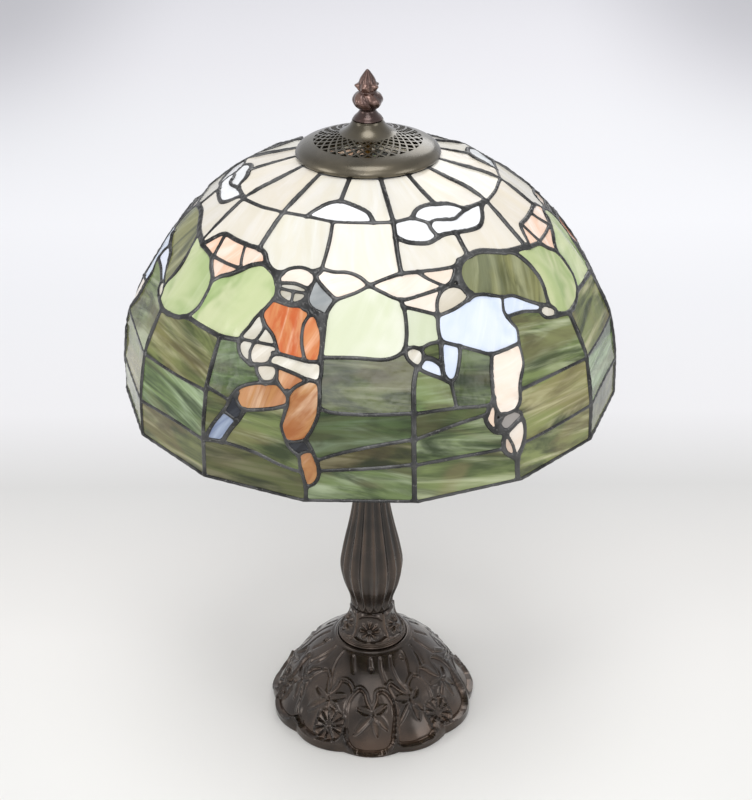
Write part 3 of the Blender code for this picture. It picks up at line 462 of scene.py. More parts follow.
# %% Solder lines
SEAM, ROW, FINE, WIDE = 3.4, 2.7, 2.3, 3.6
LINES = [
    # sky
    (SEAM, [(-63.4, 268), (-62.8, 250), (-62.3, 238), (-62.9, 214.8)]),
    (SEAM, [(-40.6, 268), (-39.1, 253), (-37.8, 236), (-37.5, 218)]),
    (SEAM, [(-14.5, 268), (-14.4, 253), (-14.1, 239.6)]),
    (SEAM, [(10, 268), (10, 240), (10.2, 217.5)]),
    (SEAM, [(32.9, 268), (32, 248), (32.1, 229)]),
    (ROW, [(-74.3, 215.4), (-62.9, 214.8), (-50.2, 214.9), (-39.1, 217.6), (-25.8, 217.9), (-10.2, 217),
           (0.9, 216.6), (10.2, 217.3), (18.7, 218.6)]),
    (ROW, [(43.7, 215.7), (57.1, 214.8)]),
    (WIDE, [(-26.3, 218), (-25.4, 222), (-23.3, 227.8), (-21, 233), (-18.3, 236.8), (-14.1, 239.6),
            (-10, 237.5), (-4, 232), (0.3, 226), (2.1, 217)]),
    (WIDE, [(18.7, 218.6), (21.4, 224.7), (25.3, 228.2), (30.3, 229.3), (35.3, 228), (39.8, 223.7),
            (43.7, 216.5), (45.9, 215.5)]),
    (ROW, [(18.7, 218.6), (23.1, 214), (24.8, 211.2)]),
    (ROW, [(24.8, 211.2), (27.6, 213.4), (32, 213), (36.4, 211.6), (39.8, 213), (45.5, 215.4)]),
    (ROW, [(24.8, 211.2), (24.6, 206.4), (25.9, 199)]),
    (WIDE, [(10.1, 204.5), (12.5, 200.5), (15.5, 197.5), (21.4, 195.2), (25.9, 198.6)]),
    (WIDE, [(25.9, 198.9), (29.8, 200.2), (34.2, 200), (39.8, 198), (44.8, 197.9), (48.7, 203),
            (52.2, 211), (55.8, 215)]),
    (SEAM, [(-62.9, 214.8), (-63, 211), (-63.3, 190), (-63.4, 168)]),
    (SEAM, [(-37.5, 218), (-38, 200), (-38.2, 184)]),
    (ROW, [(-14.4, 217.3), (-13.9, 200), (-14.4, 177.8)]),
    (SEAM, [(10.2, 217.3), (9.8, 195), (9.9, 174.6)]),
    (SEAM, [(33.1, 200), (33.2, 180)]),
    # house and left trees
    (WIDE, [(-69.5, 169.2), (-66, 168.4), (-62.6, 167.6), (-60.9, 171), (-59, 177.6), (-56.4, 182.8),
            (-50.2, 182.4), (-43.6, 182.8), (-38.2, 184), (-35.3, 181), (-33.3, 175), (-31, 170),
            (-28.7, 168.2), (-26.8, 168.6)]),
    (ROW, [(-56, 183), (-55, 172), (-54.3, 163.4)]),
    (ROW, [(-44.7, 183), (-42.6, 171), (-40.9, 164.6)]),
    (ROW, [(-54.3, 163.2), (-47, 163), (-40.9, 164.4)]),
    (WIDE, [(-62, 167), (-58.5, 165), (-55, 161.9), (-52.5, 154.9), (-49.2, 145.5), (-48.9, 128),
            (-50, 119.7), (-51.9, 113)]),
    (WIDE, [(-49.2, 145.5), (-46.9, 152.2), (-43.6, 157.4), (-40.6, 163.5), (-38, 169.4), (-35, 172.3),
            (-32.4, 171.2), (-29.3, 166.4), (-27.2, 160)]),
    (WIDE, [(-59, 107.8), (-55, 109.4), (-51.9, 112.8), (-45.8, 112.3), (-38, 112.2), (-32.4, 112.6)]),
    # left player
    (ROW, [(-27.2, 160), (-26.9, 166.4), (-25.2, 172.3), (-21.3, 175.5), (-17.4, 173.9), (-15.9, 169.7),
           (-16.4, 163), (-17.4, 160)]),
    (ROW, [(-27.2, 160), (-24.1, 161.6), (-21.3, 162.2), (-17.4, 160.3)]),
    (WIDE, [(-26.7, 160), (-26, 152.5), (-24.6, 149), (-21.4, 146.4), (-18.6, 149.3), (-17.2, 154),
            (-16.8, 160)]),
    (FINE, [(-26, 156.6), (-21.4, 156.2), (-17, 156.8)]),
    (FINE, [(-21.5, 156), (-21.4, 147)]),
    (ROW, [(-27.2, 160), (-26.4, 153), (-26.8, 147.2), (-28.6, 138), (-30.2, 131.4), (-31.2, 124),
           (-32.4, 117.5), (-32.6, 112.6)]),
    (ROW, [(-26.6, 147), (-24.1, 146), (-21.4, 145.4), (-18, 146), (-15.2, 142.3)]),
    (ROW, [(-28.9, 136.5), (-28.2, 131), (-26.6, 126.4), (-24.2, 120.8), (-22.6, 113), (-21.9, 108.9)]),
    (ROW, [(-15.2, 142.3), (-16.6, 133), (-16.3, 120), (-14.9, 108.4)]),
    (ROW, [(-16.2, 147.5), (-15.2, 142.3), (-13.6, 140.6), (-12, 131.4), (-11.2, 119.7), (-11.3, 107.6)]),
    (ROW, [(-23.4, 108.6), (-21.9, 108.9), (-16.9, 108.1), (-11.3, 107.4)]),
    (ROW, [(-11, 107.4), (-10.8, 99), (-11.2, 92.8)]),
    (ROW, [(-11.2, 92.8), (-13.6, 94.6), (-16.9, 97), (-20.8, 99), (-24, 100.3)]),
    (ROW, [(-22.2, 109), (-23.4, 105.5), (-23.8, 100.3)]),
    (ROW, [(-32.6, 112.6), (-32.4, 107), (-31, 101), (-28.4, 96.9)]),
    (FINE, [(-27.9, 130.5), (-27.2, 124), (-28.6, 114)]),
    (FINE, [(-32.6, 113.8), (-28.6, 113.8), (-23, 114)]),
    (FINE, [(-28.6, 114), (-29.2, 107), (-28.9, 101.4), (-28, 97)]),
    (ROW, [(-28.4, 96.9), (-25.6, 98.6), (-23.8, 100.3)]),
    (ROW, [(-26.9, 97.6), (-26.4, 92.5), (-25, 87.5), (-23.8, 85.6)]),
    (ROW, [(-21.7, 99), (-21.3, 92.5), (-22.3, 88), (-23.8, 85.8)]),
    (ROW, [(-21.5, 92), (-20.6, 87.4), (-18.4, 81.5)]),
    (ROW, [(-13.6, 94.2), (-16.5, 87.5), (-17.8, 81.4)]),
    (ROW, [(-20.8, 87.6), (-25.8, 84.7), (-29.8, 78.9), (-31.6, 70.5), (-33, 60), (-35.9, 44.7),
           (-37.3, 32.8)]),
    (ROW, [(-30.2, 74), (-30.3, 69), (-28.7, 63.4), (-25.8, 64.4), (-21.3, 68.6), (-18.1, 73.2)]),
    (ROW, [(-18.2, 84), (-17.9, 75), (-18.6, 64), (-19, 56.4), (-17.9, 47), (-17.1, 42), (-14.9, 36.2),
           (-14.6, 29.7), (-13.9, 19.7), (-13.4, 11.4), (-13.5, 0)]),
    (WIDE, [(-28.1, 62.6), (-29.7, 53), (-31.2, 46), (-33.4, 33)]),
    (FINE, [(-33.3, 57.8), (-31.8, 55.8), (-30.1, 53.4)]),
    (FINE, [(-37.3, 32.8), (-33.6, 33)]),
    (ROW, [(-11.2, 92.8), (-10.8, 85), (-10.9, 69.7), (-12.2, 57.5), (-13.2, 50.5), (-12.2, 43),
           (-10.9, 31), (-10.7, 22), (-11.6, 15), (-13.4, 11.4)]),
    (FINE, [(-17.8, 46.4), (-15.6, 47.4), (-13.4, 50.2)]),
    (FINE, [(-14.9, 37), (-13.9, 40.2), (-12.4, 41.4)]),
    # hills and middle trees
    (ROW, [(-17.4, 173.9), (-14.4, 177.2), (-10.5, 175.2), (-6, 174.6), (-2.4, 170.8), (0.2, 164.6)]),
    (FINE, [(-15.9, 171), (-14.6, 174), (-14.4, 177.6)]),
    (ROW, [(-15.9, 171), (-12, 160.8), (-9, 153.6)]),
    (ROW, [(-9, 153.6), (-11, 143), (-11.1, 128), (-11.3, 107.6)]),
    (ROW, [(-16.6, 163), (-17, 155), (-16, 148.6), (-13.4, 144.6), (-11.2, 140.5)]),
    (ROW, [(0.2, 164.4), (-3.6, 158.9), (-9, 153.6)]),
    (ROW, [(0.2, 164.4), (5.3, 170.2), (9.9, 174.2), (15.3, 173.6), (23.1, 172.6), (28, 173.4),
           (30.2, 177)]),
    (ROW, [(0.2, 164.4), (4.2, 158.9), (8.7, 154.2), (15.3, 155.7), (19.5, 157.2), (23.9, 159.5)]),
    (ROW, [(15.2, 173.4), (18.1, 166), (22.3, 158.8)]),
    (WIDE, [(28.1, 173), (25.6, 163.5), (23.9, 159.2)]),
    (ROW, [(8.7, 154.2), (9.5, 143), (9.3, 128), (8.5, 117)]),
    (ROW, [(9.1, 149.2), (13.1, 144.8), (17.9, 139)]),
    (ROW, [(-11.3, 110.8), (-3.6, 110.7), (3.1, 109.5), (6.4, 112), (8.5, 116.6)]),
    (ROW, [(8.5, 116.6), (10.4, 118.6), (12.4, 116.6), (14.8, 118.8), (17.7, 118.9)]),
    # right player
    (ROW, [(23.9, 159.2), (20.8, 155.2), (18.9, 148), (18.2, 138), (17.6, 128), (17.7, 118.9)]),
    (ROW, [(23.9, 159.2), (27.4, 155.2), (29, 150), (27.9, 146.2)]),
    (ROW, [(17.9, 137.6), (23.1, 140.7), (27.9, 146)]),
    (ROW, [(27.9, 146), (30.4, 148.2), (33.7, 147.2), (38.1, 141.2), (42, 138.6), (46.4, 130),
           (50.2, 122.6)]),
    (ROW, [(17.7, 118.9), (22.2, 113.2), (26.4, 107.4), (29.8, 103.2), (34.2, 104.8), (37.9, 104.8)]),
    (ROW, [(38.1, 141.2), (36.8, 131.4), (37.6, 121.4), (38.7, 114.7), (37.9, 104.8), (37.3, 89.7),
           (34.9, 76.4), (34.3, 64.7), (33.1, 58.8), (34.2, 55), (34.1, 50.6)]),
    (ROW, [(37.2, 126.2), (40, 125.6), (43.1, 124.4), (46, 121.8), (48.6, 119.4)]),
    (ROW, [(50.2, 122.6), (48.6, 118.8), (49.8, 113), (53.3, 110.2), (55.3, 110)]),
    (ROW, [(50.2, 122.6), (52.2, 120.6), (53.8, 115.4), (53.3, 110.4)]),
    (ROW, [(8.5, 116.6), (9, 110), (11.2, 103.4), (12.6, 99.5), (16.2, 93), (18.6, 88.6)]),
    (ROW, [(12.4, 116.6), (12.9, 109.6), (11.4, 103.6)]),
    (WIDE, [(17.7, 118.9), (17.3, 110), (17, 97), (17.8, 90.4)]),
    (WIDE, [(12.9, 109.8), (15.2, 107), (17, 101.6)]),
    (ROW, [(22.3, 113.2), (21.5, 103), (20, 92), (18.6, 88.6)]),
    (ROW, [(18.6, 88.6), (19.1, 71)]),
    (ROW, [(29.8, 103.2), (28.7, 89.7), (28.1, 72), (28.6, 60.5), (30.1, 57), (33.1, 58.8)]),
    (WIDE, [(28.1, 71), (26.5, 61.4), (25.9, 54.7), (27.8, 45), (30.5, 42.6)]),
    (FINE, [(28.5, 61), (28.1, 54), (28.3, 44.6)]),
    (WIDE, [(30.1, 57), (28.9, 50), (30.6, 43.4), (34.1, 50.8), (35, 41.4), (34.4, 29.7), (33, 18.8),
            (33.2, 0)]),
    (WIDE, [(30.6, 43.4), (29.7, 35), (30.3, 26), (33, 18.8)]),
    (FINE, [(30.5, 41), (32, 30), (32.5, 19.5)]),
    # dark tree and the light one behind it
    (5.0, [(29.8, 176.5), (27.7, 168), (27.4, 160), (28.2, 152), (29, 149.8)]),
    (4.6, [(29.8, 176), (33.5, 179.6), (38.1, 179.8), (43.1, 175.8), (47.6, 171.4)]),
    (WIDE, [(47.6, 171.4), (50.9, 167.6), (53.2, 157), (54.1, 147), (54, 137), (52.8, 126),
            (52.4, 120.4)]),
    (WIDE, [(47.6, 171.9), (51, 170.6), (57.4, 168.8)]),
    (WIDE, [(53.6, 112), (55.3, 110), (58.1, 108.4), (61, 107.8)]),
    # field
    (SEAM, [(-62.1, 108.4), (-62.1, 70), (-62.1, 0)]),
    (SEAM, [(-38, 112.2), (-38, 70), (-38, 0)]),
    (SEAM, [(10.6, 101.5), (9.8, 90), (9.4, 70), (9.2, 40), (9.3, 0)]),
    (ROW, [(-61.9, 70.2), (-49.1, 69), (-38, 70.4)]),
    (ROW, [(-38, 73.6), (-34.9, 70.6), (-32.2, 67.6)]),
    (ROW, [(-10.6, 74), (-8, 71), (-3, 69.8), (3, 69.8), (9.4, 70.8), (19.2, 69), (24, 67),
           (27.3, 66.4)]),
    (ROW, [(34.9, 72.6), (45.3, 71.4), (58.1, 70.2)]),
    (ROW, [(-61.9, 30.6), (-49.1, 32), (-38, 31.6), (-33.6, 33.4), (-25.8, 31.3), (-19.1, 25.8),
           (-14.3, 24)]),
    (ROW, [(-10.6, 25.6), (-1.3, 27.4), (5.3, 29.6), (9.8, 31.2), (18.7, 30.6), (29.8, 29.4)]),
    (ROW, [(34.5, 30.4), (45.3, 29.8), (58.1, 30.6)]),
    (ROW, [(-10.9, 34.2), (-6.5, 39.5), (0, 45), (9.8, 51.6), (18.7, 56.6), (26.2, 59.6)]),
    # pools of solder where many pieces meet
    (4.2, [(-17.4, 151), (-17.2, 145.5)]),
    (3.8, [(-12.7, 143), (-12.2, 135)]),
    # rim and top ring
    (WIDE, [(-62, 0), (-2, 0), (58, 0)]),
    (3.0, [(-62, 269.5), (-2, 269.5), (58, 269.5)]),
]
print("solder lines in each third:", len(LINES))

# %% Which glass goes where
PIECES = {  # sheet: the way its streaks run, then (turn, length, tone, warmth) in each piece
    "cream": (90, [(-50, 245, -0.05, 0.06), (-30, 250, 0, 0), (-5, 252, 0.06, -0.02),
                   (20, 250, 0.04, 0), (45, 245, 0, 0.05), (-50, 200, 0.0, 0.03),
                   (-26, 200, 0.06, -0.05), (-2, 200, 0.0, 0.05), (22, 188, 0.05, 0),
                   (50, 195, 0, 0.04)]),
    "cloud": (0, [(-14, 228, 0, 0), (32, 221, 0, 0), (40, 206, 0, 0), (17, 207, 0, 0)]),
    "leaf": (70, [(-58, 140, -0.08, 0), (-40, 135, 0, 0)]),
    "mist": (60, [(0, 130, 0, 0), (13, 130, -0.04, -0.05)]),
    "pine": (75, [(42, 160, 0, 0)]),
    "field": (0, [(-50, 90, 0.7, 0.35), (-33, 90, 0.25, -0.35), (-50, 50, 1.1, -0.3),
                  (-36.2, 55, -0.1, 0.1), (-26, 50, 0.6, 0.15), (-50, 15, 0.2, 0.4),
                  (-26, 15, -0.75, 0.4), (0, 90, -0.5, 0.2), (0, 58, -0.6, -0.45),
                  (4, 38, -0.7, 0.5), (0, 12, 0.35, -0.15), (14, 85, 1.1, -0.3), (24, 85, -0.4, -0.1),
                  (15, 63, -0.5, -0.1), (18, 42, 0.5, -0.1), (20, 15, 1.0, 0.1),
                  (47, 90, 0.8, 0.05), (46, 50, 1.2, 0.4), (46, 15, 1.1, 0.3), (15.5, 112, -0.1, 0.1)]),
    "amber": (80, [(-22, 130, 0, 0), (-13.8, 125, 0.05, 0)]),
    "brown": (60, [(-24.5, 75, 0, 0.1), (-15, 70, 0.15, 0), (-18, 90, 0.2, 0.1),
                   (-13, 28, -0.05, 0)]),
    "blue": (60, [(28, 125, 0, 0), (42, 132, 0, 0), (15, 101, -0.05, 0), (19, 103, -0.05, 0)]),
    "sea": (60, [(-34, 45, 0, 0)]),
    "peach": (20, [(-8, 166, 0.02, 0), (10, 165, 0, 0), (22.5, 167, 0, 0), (14.5, 149, 0, 0),
                   (32.5, 85, 0, 0), (27, 57, -0.1, 0.2), (33, 38, -0.05, 0), (30.7, 30, -0.5, 0.2),
                   (-21.5, 168.5, 0, 0)]),
    "rose": (70, [(-50, 173, 0.05, 0.05), (-58, 171, 0.05, 0), (-39.5, 176, 0.0, 0),
                  (-48.5, 157, -0.05, 0)]),
    "tan": (40, [(24, 150, 0.15, 0.05), (-21.5, 159.2, -0.3, 0), (-23.5, 151.5, -0.2, 0),
                 (-19.5, 151.5, -0.3, 0), (-30, 120, 0.1, 0), (-26.6, 119, 0.15, 0),
                 (-30.8, 106, 0.05, 0), (-26.3, 106, 0.1, 0.05), (-24, 93, 0.05, 0.05),
                 (10.8, 110.5, 0.2, 0), (51.5, 116, 0.1, 0.05), (-17, 102.5, 0.3, 0)]),
    "grey": (30, [(-13.5, 153, 0.4, 0), (31.5, 51.5, -0.2, 0.3), (26, 160, -0.3, 0)]),
    "coal": (30, [(-30.2, 62, 0, 0), (-15, 44, -0.3, 0)]),
}
print("seeded pieces:", sum(len(spots) for _, spots in PIECES.values()))

# %% [markdown]
# ## Where the solder lies
# For every place on a fine grid, the distance to the nearest line less half its width says
# whether it is solder or glass. Lines near each other add up a little, as molten solder does, so
# joints get round fillets. The outline where that value is zero cuts the sheet into its pieces.

# %% Distance to the solder
COLUMNS, ROWS = 400, 300
SPREAD, FILLET = 0.54, 0.6  # share of a line's width on each side, and mm over which joints fill
REACH = 16.0
TURN_STEP, LENGTH_STEP = 120 / COLUMNS, TOP / ROWS
START = FIRST_SEAM - 48


def soft_curve(points, parts=6):
    """Points on a smooth curve through these ones."""
    ends = [points[0], *points, points[-1]]
    curve = []
    for a, b, c, d in zip(ends, ends[1:], ends[2:], ends[3:]):
        for t in np.arange(parts) / parts:
            curve.append([0.5 * (2 * q + (r - p) * t + (2 * p - 5 * q + 4 * r - s) * t * t
                                 + (3 * q - p - 3 * r + s) * t ** 3)
                          for p, q, r, s in zip(a, b, c, d)])
    return np.array([*curve, points[-1]], float)


turn_at = START + TURN_STEP * np.arange(COLUMNS)
length_at = LENGTH_STEP * np.arange(ROWS + 1)
total = np.zeros((COLUMNS, ROWS + 1))
for width, points in LINES:
    best = np.full(total.shape, 60.0)
    curve = soft_curve(points)
    for (t0, s0), (t1, s1) in zip(curve, curve[1:]):
        rows = np.flatnonzero((length_at > min(s0, s1) - REACH) & (length_at < max(s0, s1) + REACH))
        scale = round_width(length_at[rows])[None, :]
        widest = REACH / scale.min() + abs(t1 - t0) / 2
        away = np.mod(turn_at - (t0 + t1) / 2 + 60, 120) - 60
        cols = np.flatnonzero(np.abs(away) < widest)
        x = (away[cols] + (t0 + t1) / 2 - t0)[:, None] * scale
        y = (length_at[rows] - s0)[None, :]
        dx, dy = (t1 - t0) * scale, s1 - s0
        part = np.clip((x * dx + y * dy) / (dx * dx + dy * dy + 1e-12), 0, 1)
        gap = np.hypot(x - part * dx, y - part * dy)
        spot = np.ix_(cols, rows)
        best[spot] = np.minimum(best[spot], gap)
    total += np.exp(-(best - SPREAD * width) / FILLET)
field = -FILLET * np.log(np.maximum(total, 1e-30))
field[np.abs(field) < 0.02] = 0.02
print("solder covers %.0f%% of the shade" % (100 * (field < 0).mean()))

# %% Trace the outlines
def trace(values, rows):
    """The cells of a grid that closes on itself, where values is under 0: each cell's outline, where
    the solid's edge crosses the grid lines, and which crossing follows which round each hole."""
    columns, cells, following, spots = len(values), [], {}, {}

    def crossing(i, j, k, l):
        """Where the solid's edge crosses the grid line between two neighbours, kept in spots."""
        key = (min(i, k), min(j, l), i != k)
        wrapped = (key[0] % columns, key[1], key[2])
        if wrapped not in spots:
            a = values[wrapped[0], key[1]]
            b = values[(key[0] + (i != k)) % columns, key[1] + (j != l)]
            share = min(max(a / (a - b), 0.08), 0.92)
            spots[wrapped] = (wrapped[0] + share * (i != k), key[1] + share * (j != l))
        return ("edge", *key)

    for j in range(rows):
        for i in range(columns):
            around = ((i, j), (i + 1, j), (i + 1, j + 1), (i, j + 1))
            solid = [values[a % columns, b] < 0 for a, b in around]
            if not any(solid):
                continue
            outline = []
            for corner, here, after, beyond in zip(around, solid, around[1:] + around[:1],
                                                   solid[1:] + solid[:1]):
                if here:
                    outline.append(("grid", *corner))
                if here != beyond:
                    outline.append(crossing(*corner, *after))
            cells.append(outline)
            for n, (a, b) in enumerate(zip(outline, outline[1:] + outline[:1])):
                if a[0] == "edge" and b[0] == "edge" and outline[n - 1][0] == "grid":
                    following[(a[1] % columns, *a[2:])] = (b[1] % columns, *b[2:])
    return cells, following, spots


def sheet_of(cells, spots, columns, closed):
    """The sheet's points as grid places, its faces by index, and the key of each point."""
    order, faces = {}, []
    for outline in cells:
        names = [(k[0], k[1] % columns, *k[2:]) if closed else k for k in outline]
        faces.append([order.setdefault(k, len(order)) for k in names])
    places = []
    for kind, i, j, *more in order:
        if kind == "grid":
            places.append((i, j))
        else:
            column, row = spots[(i % columns, j, more[0])]
            places.append((column + (columns if i >= columns else 0), row))
    return np.array(places, float), faces, list(order)


cells, following, spot_of = trace(field, ROWS)
loops, waiting = [], dict(following)
while waiting:
    chain, here = [], next(iter(waiting))
    while here in waiting:
        chain.append(here)
        here = waiting.pop(here)
    columns = [spot_of[k][0] for k in chain]
    for n in range(1, len(columns)):
        columns[n] += COLUMNS * round((columns[n - 1] - columns[n]) / COLUMNS)
    outline = [(START + TURN_STEP * c, LENGTH_STEP * spot_of[k][1]) for c, k in zip(columns, chain)]
    area = sum(a[0] * b[1] - b[0] * a[1] for a, b in zip(outline, outline[1:] + outline[:1])) / 2
    loops.append((area, chain, outline))
pieces = [(chain[::-1], outline[::-1]) for area, chain, outline in loops if area < -2]
print("pieces of glass in a third:", len(pieces), " closed rings of solder in glass:",
      sum(area > 0 for area, _, _ in loops), " smallest:", round(max(a for a, _, _ in loops if a < 0)))

# %% Match each outline to its glass
def holds(outline, turn, length):
    """Whether this place is inside the outline, in any turn of the pattern."""
    spots = np.array(outline)
    for shift in (-120, 0, 120):
        x, y = spots[:, 0] - turn - shift, spots[:, 1] - length
        x2, y2 = np.roll(x, -1), np.roll(y, -1)
        cross = (y > 0) != (y2 > 0)
        at = x[cross] - y[cross] * (x2[cross] - x[cross]) / (y2[cross] - y[cross])
        if (at > 0).sum() % 2:
            return True
    return False


chosen = []
for chain, outline in pieces:
    middle = np.mean(outline, axis=0)
    found = [(kind, way, tone, heat) for kind, (way, spots) in PIECES.items()
             for turn, length, tone, heat in spots if holds(outline, turn, length)]
    if not found:
        kind = "cream" if middle[1] > 183 else "field" if middle[1] < 108 else "tan"
        found = [(kind, PIECES[kind][0], 0.05 * rng.uniform(-1, 1), 0.1 * rng.random())]
        print("  no seed at turn %.1f length %.1f: %s" % (*middle, kind))
    if len({f[0] for f in found}) > 1:
        print("  two kinds at turn %.1f length %.1f:" % tuple(middle), found)
    chosen.append(found[0])
print("pieces matched to their glass:", len(chosen))

# %% [markdown]
# ## Cutting the glass
# Each piece is a plate 2.8 mm thick. A flat plate can't follow a curved dome, so its middle sits
# up to 0.7 mm inside the curve and its edges as much outside it. Solder takes up the difference.

# %% Glass plates
THICK, FLATTEN = 2.8, 0.7
offset_of = {}


def cut_plate(chain, outline):
    """One piece's points on the sheet, its triangles and how far each point lies off the dome."""
    spots = np.array(outline)
    wide = float(round_width(spots[:, 1].mean()))
    flat = spots * (wide, 1)
    low, high = flat.min(0), flat.max(0)
    inner, odd = [], False
    for y in np.arange(low[1] + 2, high[1], 5.4):
        odd = not odd
        for x in np.arange(low[0] + (2 if odd else 5), high[0], 6.2):
            column = int(round((x / wide - START) / TURN_STEP)) % COLUMNS
            if field[column, int(round(y / LENGTH_STEP))] > 2.6 and holds(outline, x / wide, y):
                inner.append((x, y))
    points = [Vector(p) for p in flat] + [Vector(p) for p in inner]
    made, _, faces, origin, _, _ = delaunay_2d_cdt(
        points, [], [list(range(len(flat)))], 1, 1e-6)
    places = np.array([(p[0] / wide, p[1]) for p in made])
    key_of = {}
    for index, sources in enumerate(origin):
        for source in sources:
            if source < len(chain):
                key_of[index] = chain[source]
    solid = dome_points(places[:, 0], places[:, 1], 0)
    centre = solid.mean(0)
    normal = np.linalg.svd(solid - centre)[2][2]
    normal *= np.sign(normal @ (centre - (0, 0, 0.33)))
    lift = np.clip((solid - centre) @ normal * 1000, -FLATTEN, FLATTEN)
    for index, key in key_of.items():
        offset_of[key] = lift[index]
    faces = [f if (places[f[1]] - places[f[0]])[0] * (places[f[2]] - places[f[0]])[1]
             - (places[f[1]] - places[f[0]])[1] * (places[f[2]] - places[f[0]])[0] > 0
             else f[::-1] for f in faces]
    return places, faces, lift, wide


plates = [cut_plate(chain, outline) for chain, outline in pieces]
print("plates:", len(plates), " triangles a side:", sum(len(p[1]) for p in plates))


def close_plate(faces):
    """The rim of a sheet of triangles, as directed edges."""
    edges = {(a, b) for f in faces for a, b in zip(f, f[1:] + f[:1])}
    return [(a, b) for a, b in edges if (b, a) not in edges]


def two_skins(faces, count):
    """Both skins of a sheet of count points, and the walls between them round its rim."""
    return ([list(f) for f in faces] + [[count + i for i in f[::-1]] for f in faces]
            + [[b, a, count + a, count + b] for a, b in close_plate(faces)])


# %% Glass pieces
GORES = {1: (14, 15, 1, 2, 3), 2: (4, 5, 6, 7, 8), 3: (9, 10, 11, 12, 13)}
triangles = 0
for third in (1, 2, 3):
    made = {}
    for (places, faces, lift, wide), (kind, way, tone, heat) in zip(plates, chosen):
        verts, polys, uvs, tones, heats = made.setdefault(kind, ([], [], [], [], []))
        base, count = len(verts), len(places)
        turned = places[:, 0] + 120 * (third - 1)
        verts.extend(dome_points(turned, places[:, 1], lift))
        verts.extend(dome_points(turned, places[:, 1], lift + THICK))
        polys.extend([[base + i for i in f] for f in two_skins([list(f) for f in faces], count)])
        angle = math.radians(way + rng.uniform(-14, 14))
        x, y = places[:, 0] * wide / 1000, places[:, 1] / 1000
        u = x * math.cos(angle) + y * math.sin(angle) + rng.uniform(0, 30)
        v = y * math.cos(angle) - x * math.sin(angle) + rng.uniform(0, 30)
        uvs.extend(np.tile(np.stack([u, v], -1), (2, 1)))
        drift = 0 if third == 1 else 0.08
        tones.extend([tone + rng.uniform(-drift, drift)] * (2 * count))
        heats.extend([heat + rng.uniform(-drift, drift)] * (2 * count))
    gores = GORES[third]
    for kind, (verts, polys, uvs, tones, heats) in made.items():
        stands_for = {"cream": [f"sky_panel_{g:02d}" for g in gores],
                      "field": [f"field_panel_{g:02d}" for g in gores]}.get(kind, ())
        keep(f"glass_{kind}_{third}", verts, polys, glass[kind], "shade", 35, stands_for,
             uvs, {"tone": tones, "warm": heats})
        triangles += sum(len(p) - 2 for p in polys)
print("glass triangles:", triangles)

# %% [markdown]
# ## Laying the solder
# Solder is run hot along the copper foil and draws up into a rounded bead, 1.25 mm high outside
# and 1 mm inside, with small lumps where the iron paused.

# %% Solder beads
BEAD, SHOULDER = 1.25, 1.5


def bead_height(keys):
    """How far the solder stands off the dome at each grid point or edge point."""
    heights = []
    for kind, i, j, *_ in keys:
        if kind == "edge":
            heights.append(0.0)
            continue
        depth = min(-field[i % COLUMNS, j] / SHOULDER, 1.0)
        lumps = 1 + 0.16 * math.sin(i * 0.61 + 1.7 * math.sin(j * 0.23)) * math.sin(j * 0.47 + i * 0.11)
        heights.append(BEAD * lumps * math.sqrt(1 - (1 - depth) ** 2))
    return np.array(heights)


places, sheet_faces, keys = sheet_of(cells, spot_of, COLUMNS, False)
spots = places * (TURN_STEP, LENGTH_STEP) + (START, 0)
shift = np.array([offset_of.get((k[1] % COLUMNS, *k[2:]), 0.0) if k[0] == "edge" else 0.0
                  for k in keys])
height = bead_height(keys)
wear = np.clip(height / BEAD, 0, 1)
polys = two_skins(sheet_faces, len(keys))
for third in (1, 2, 3):
    turned = spots[:, 0] + 120 * (third - 1)
    verts = np.concatenate([dome_points(turned, spots[:, 1], shift - height),
                            dome_points(turned, spots[:, 1], shift + THICK + 0.8 * height)])
    keep(f"solder_{third}", verts, polys, look["solder"], "shade", 180,
         ["came_lattice"] if third == 1 else (), None, {"wear": np.tile(wear, 2)})
print("solder triangles in a third:", sum(len(p) - 2 for p in polys))

# %% [markdown]
# ## Turned and cast surfaces
# Every casting here is a turned profile with relief on it. This helper wraps a grid round the
# axis: it takes the profile, and how far each place stands off it, and closes the shell.

# %% Wrapped surfaces
def profile_at(profile, steps):
    """Evenly spaced points along a smooth profile of (radius, height) in mm, and their normals."""
    curve = soft_curve([tuple(p) for p in profile], 8)
    along = np.concatenate([[0], np.cumsum(np.hypot(*np.diff(curve, axis=0).T))])
    keep_at = np.concatenate([[True], np.diff(along) > 1e-6])
    curve, along = curve[keep_at], along[keep_at]
    want = np.linspace(0, along[-1], steps)
    spots = np.stack([np.interp(want, along, curve[:, n]) for n in (0, 1)], -1)
    slope = np.gradient(spots, want, axis=0)
    slope /= np.hypot(*slope.T)[:, None]
    return want, spots, np.stack([-slope[:, 1], slope[:, 0]], -1)


def wrap(rows):
    """Quads of a closed ring of columns for a list of rows, the last row joined to the first."""
    count = len(rows)
    columns = len(rows[0])
    verts = np.concatenate(rows)
    faces = []
    for j in range(count):
        k = (j + 1) % count
        for i in range(columns):
            n = (i + 1) % columns
            faces.append((j * columns + i, j * columns + n, k * columns + n, k * columns + i))
    return verts, faces


def ring_points(radius, height, turns):
    """A row of points for a radius and height in mm that may vary round the ring."""
    angle = np.radians(turns)
    radius = np.broadcast_to(radius, angle.shape) / 1000
    height = np.broadcast_to(height, angle.shape) / 1000
    return np.stack([radius * np.sin(angle), -radius * np.cos(angle), height], -1)


def turned_from(turns, middle):
    """Degrees from middle, between -180 and 180."""
    return np.mod(turns - middle + 180, 360) - 180


def half_ball(away, radius):
    """The height of a half ball over its radius, at each distance from its middle."""
    return np.sqrt(1 - np.minimum(away / radius, 1) ** 2)


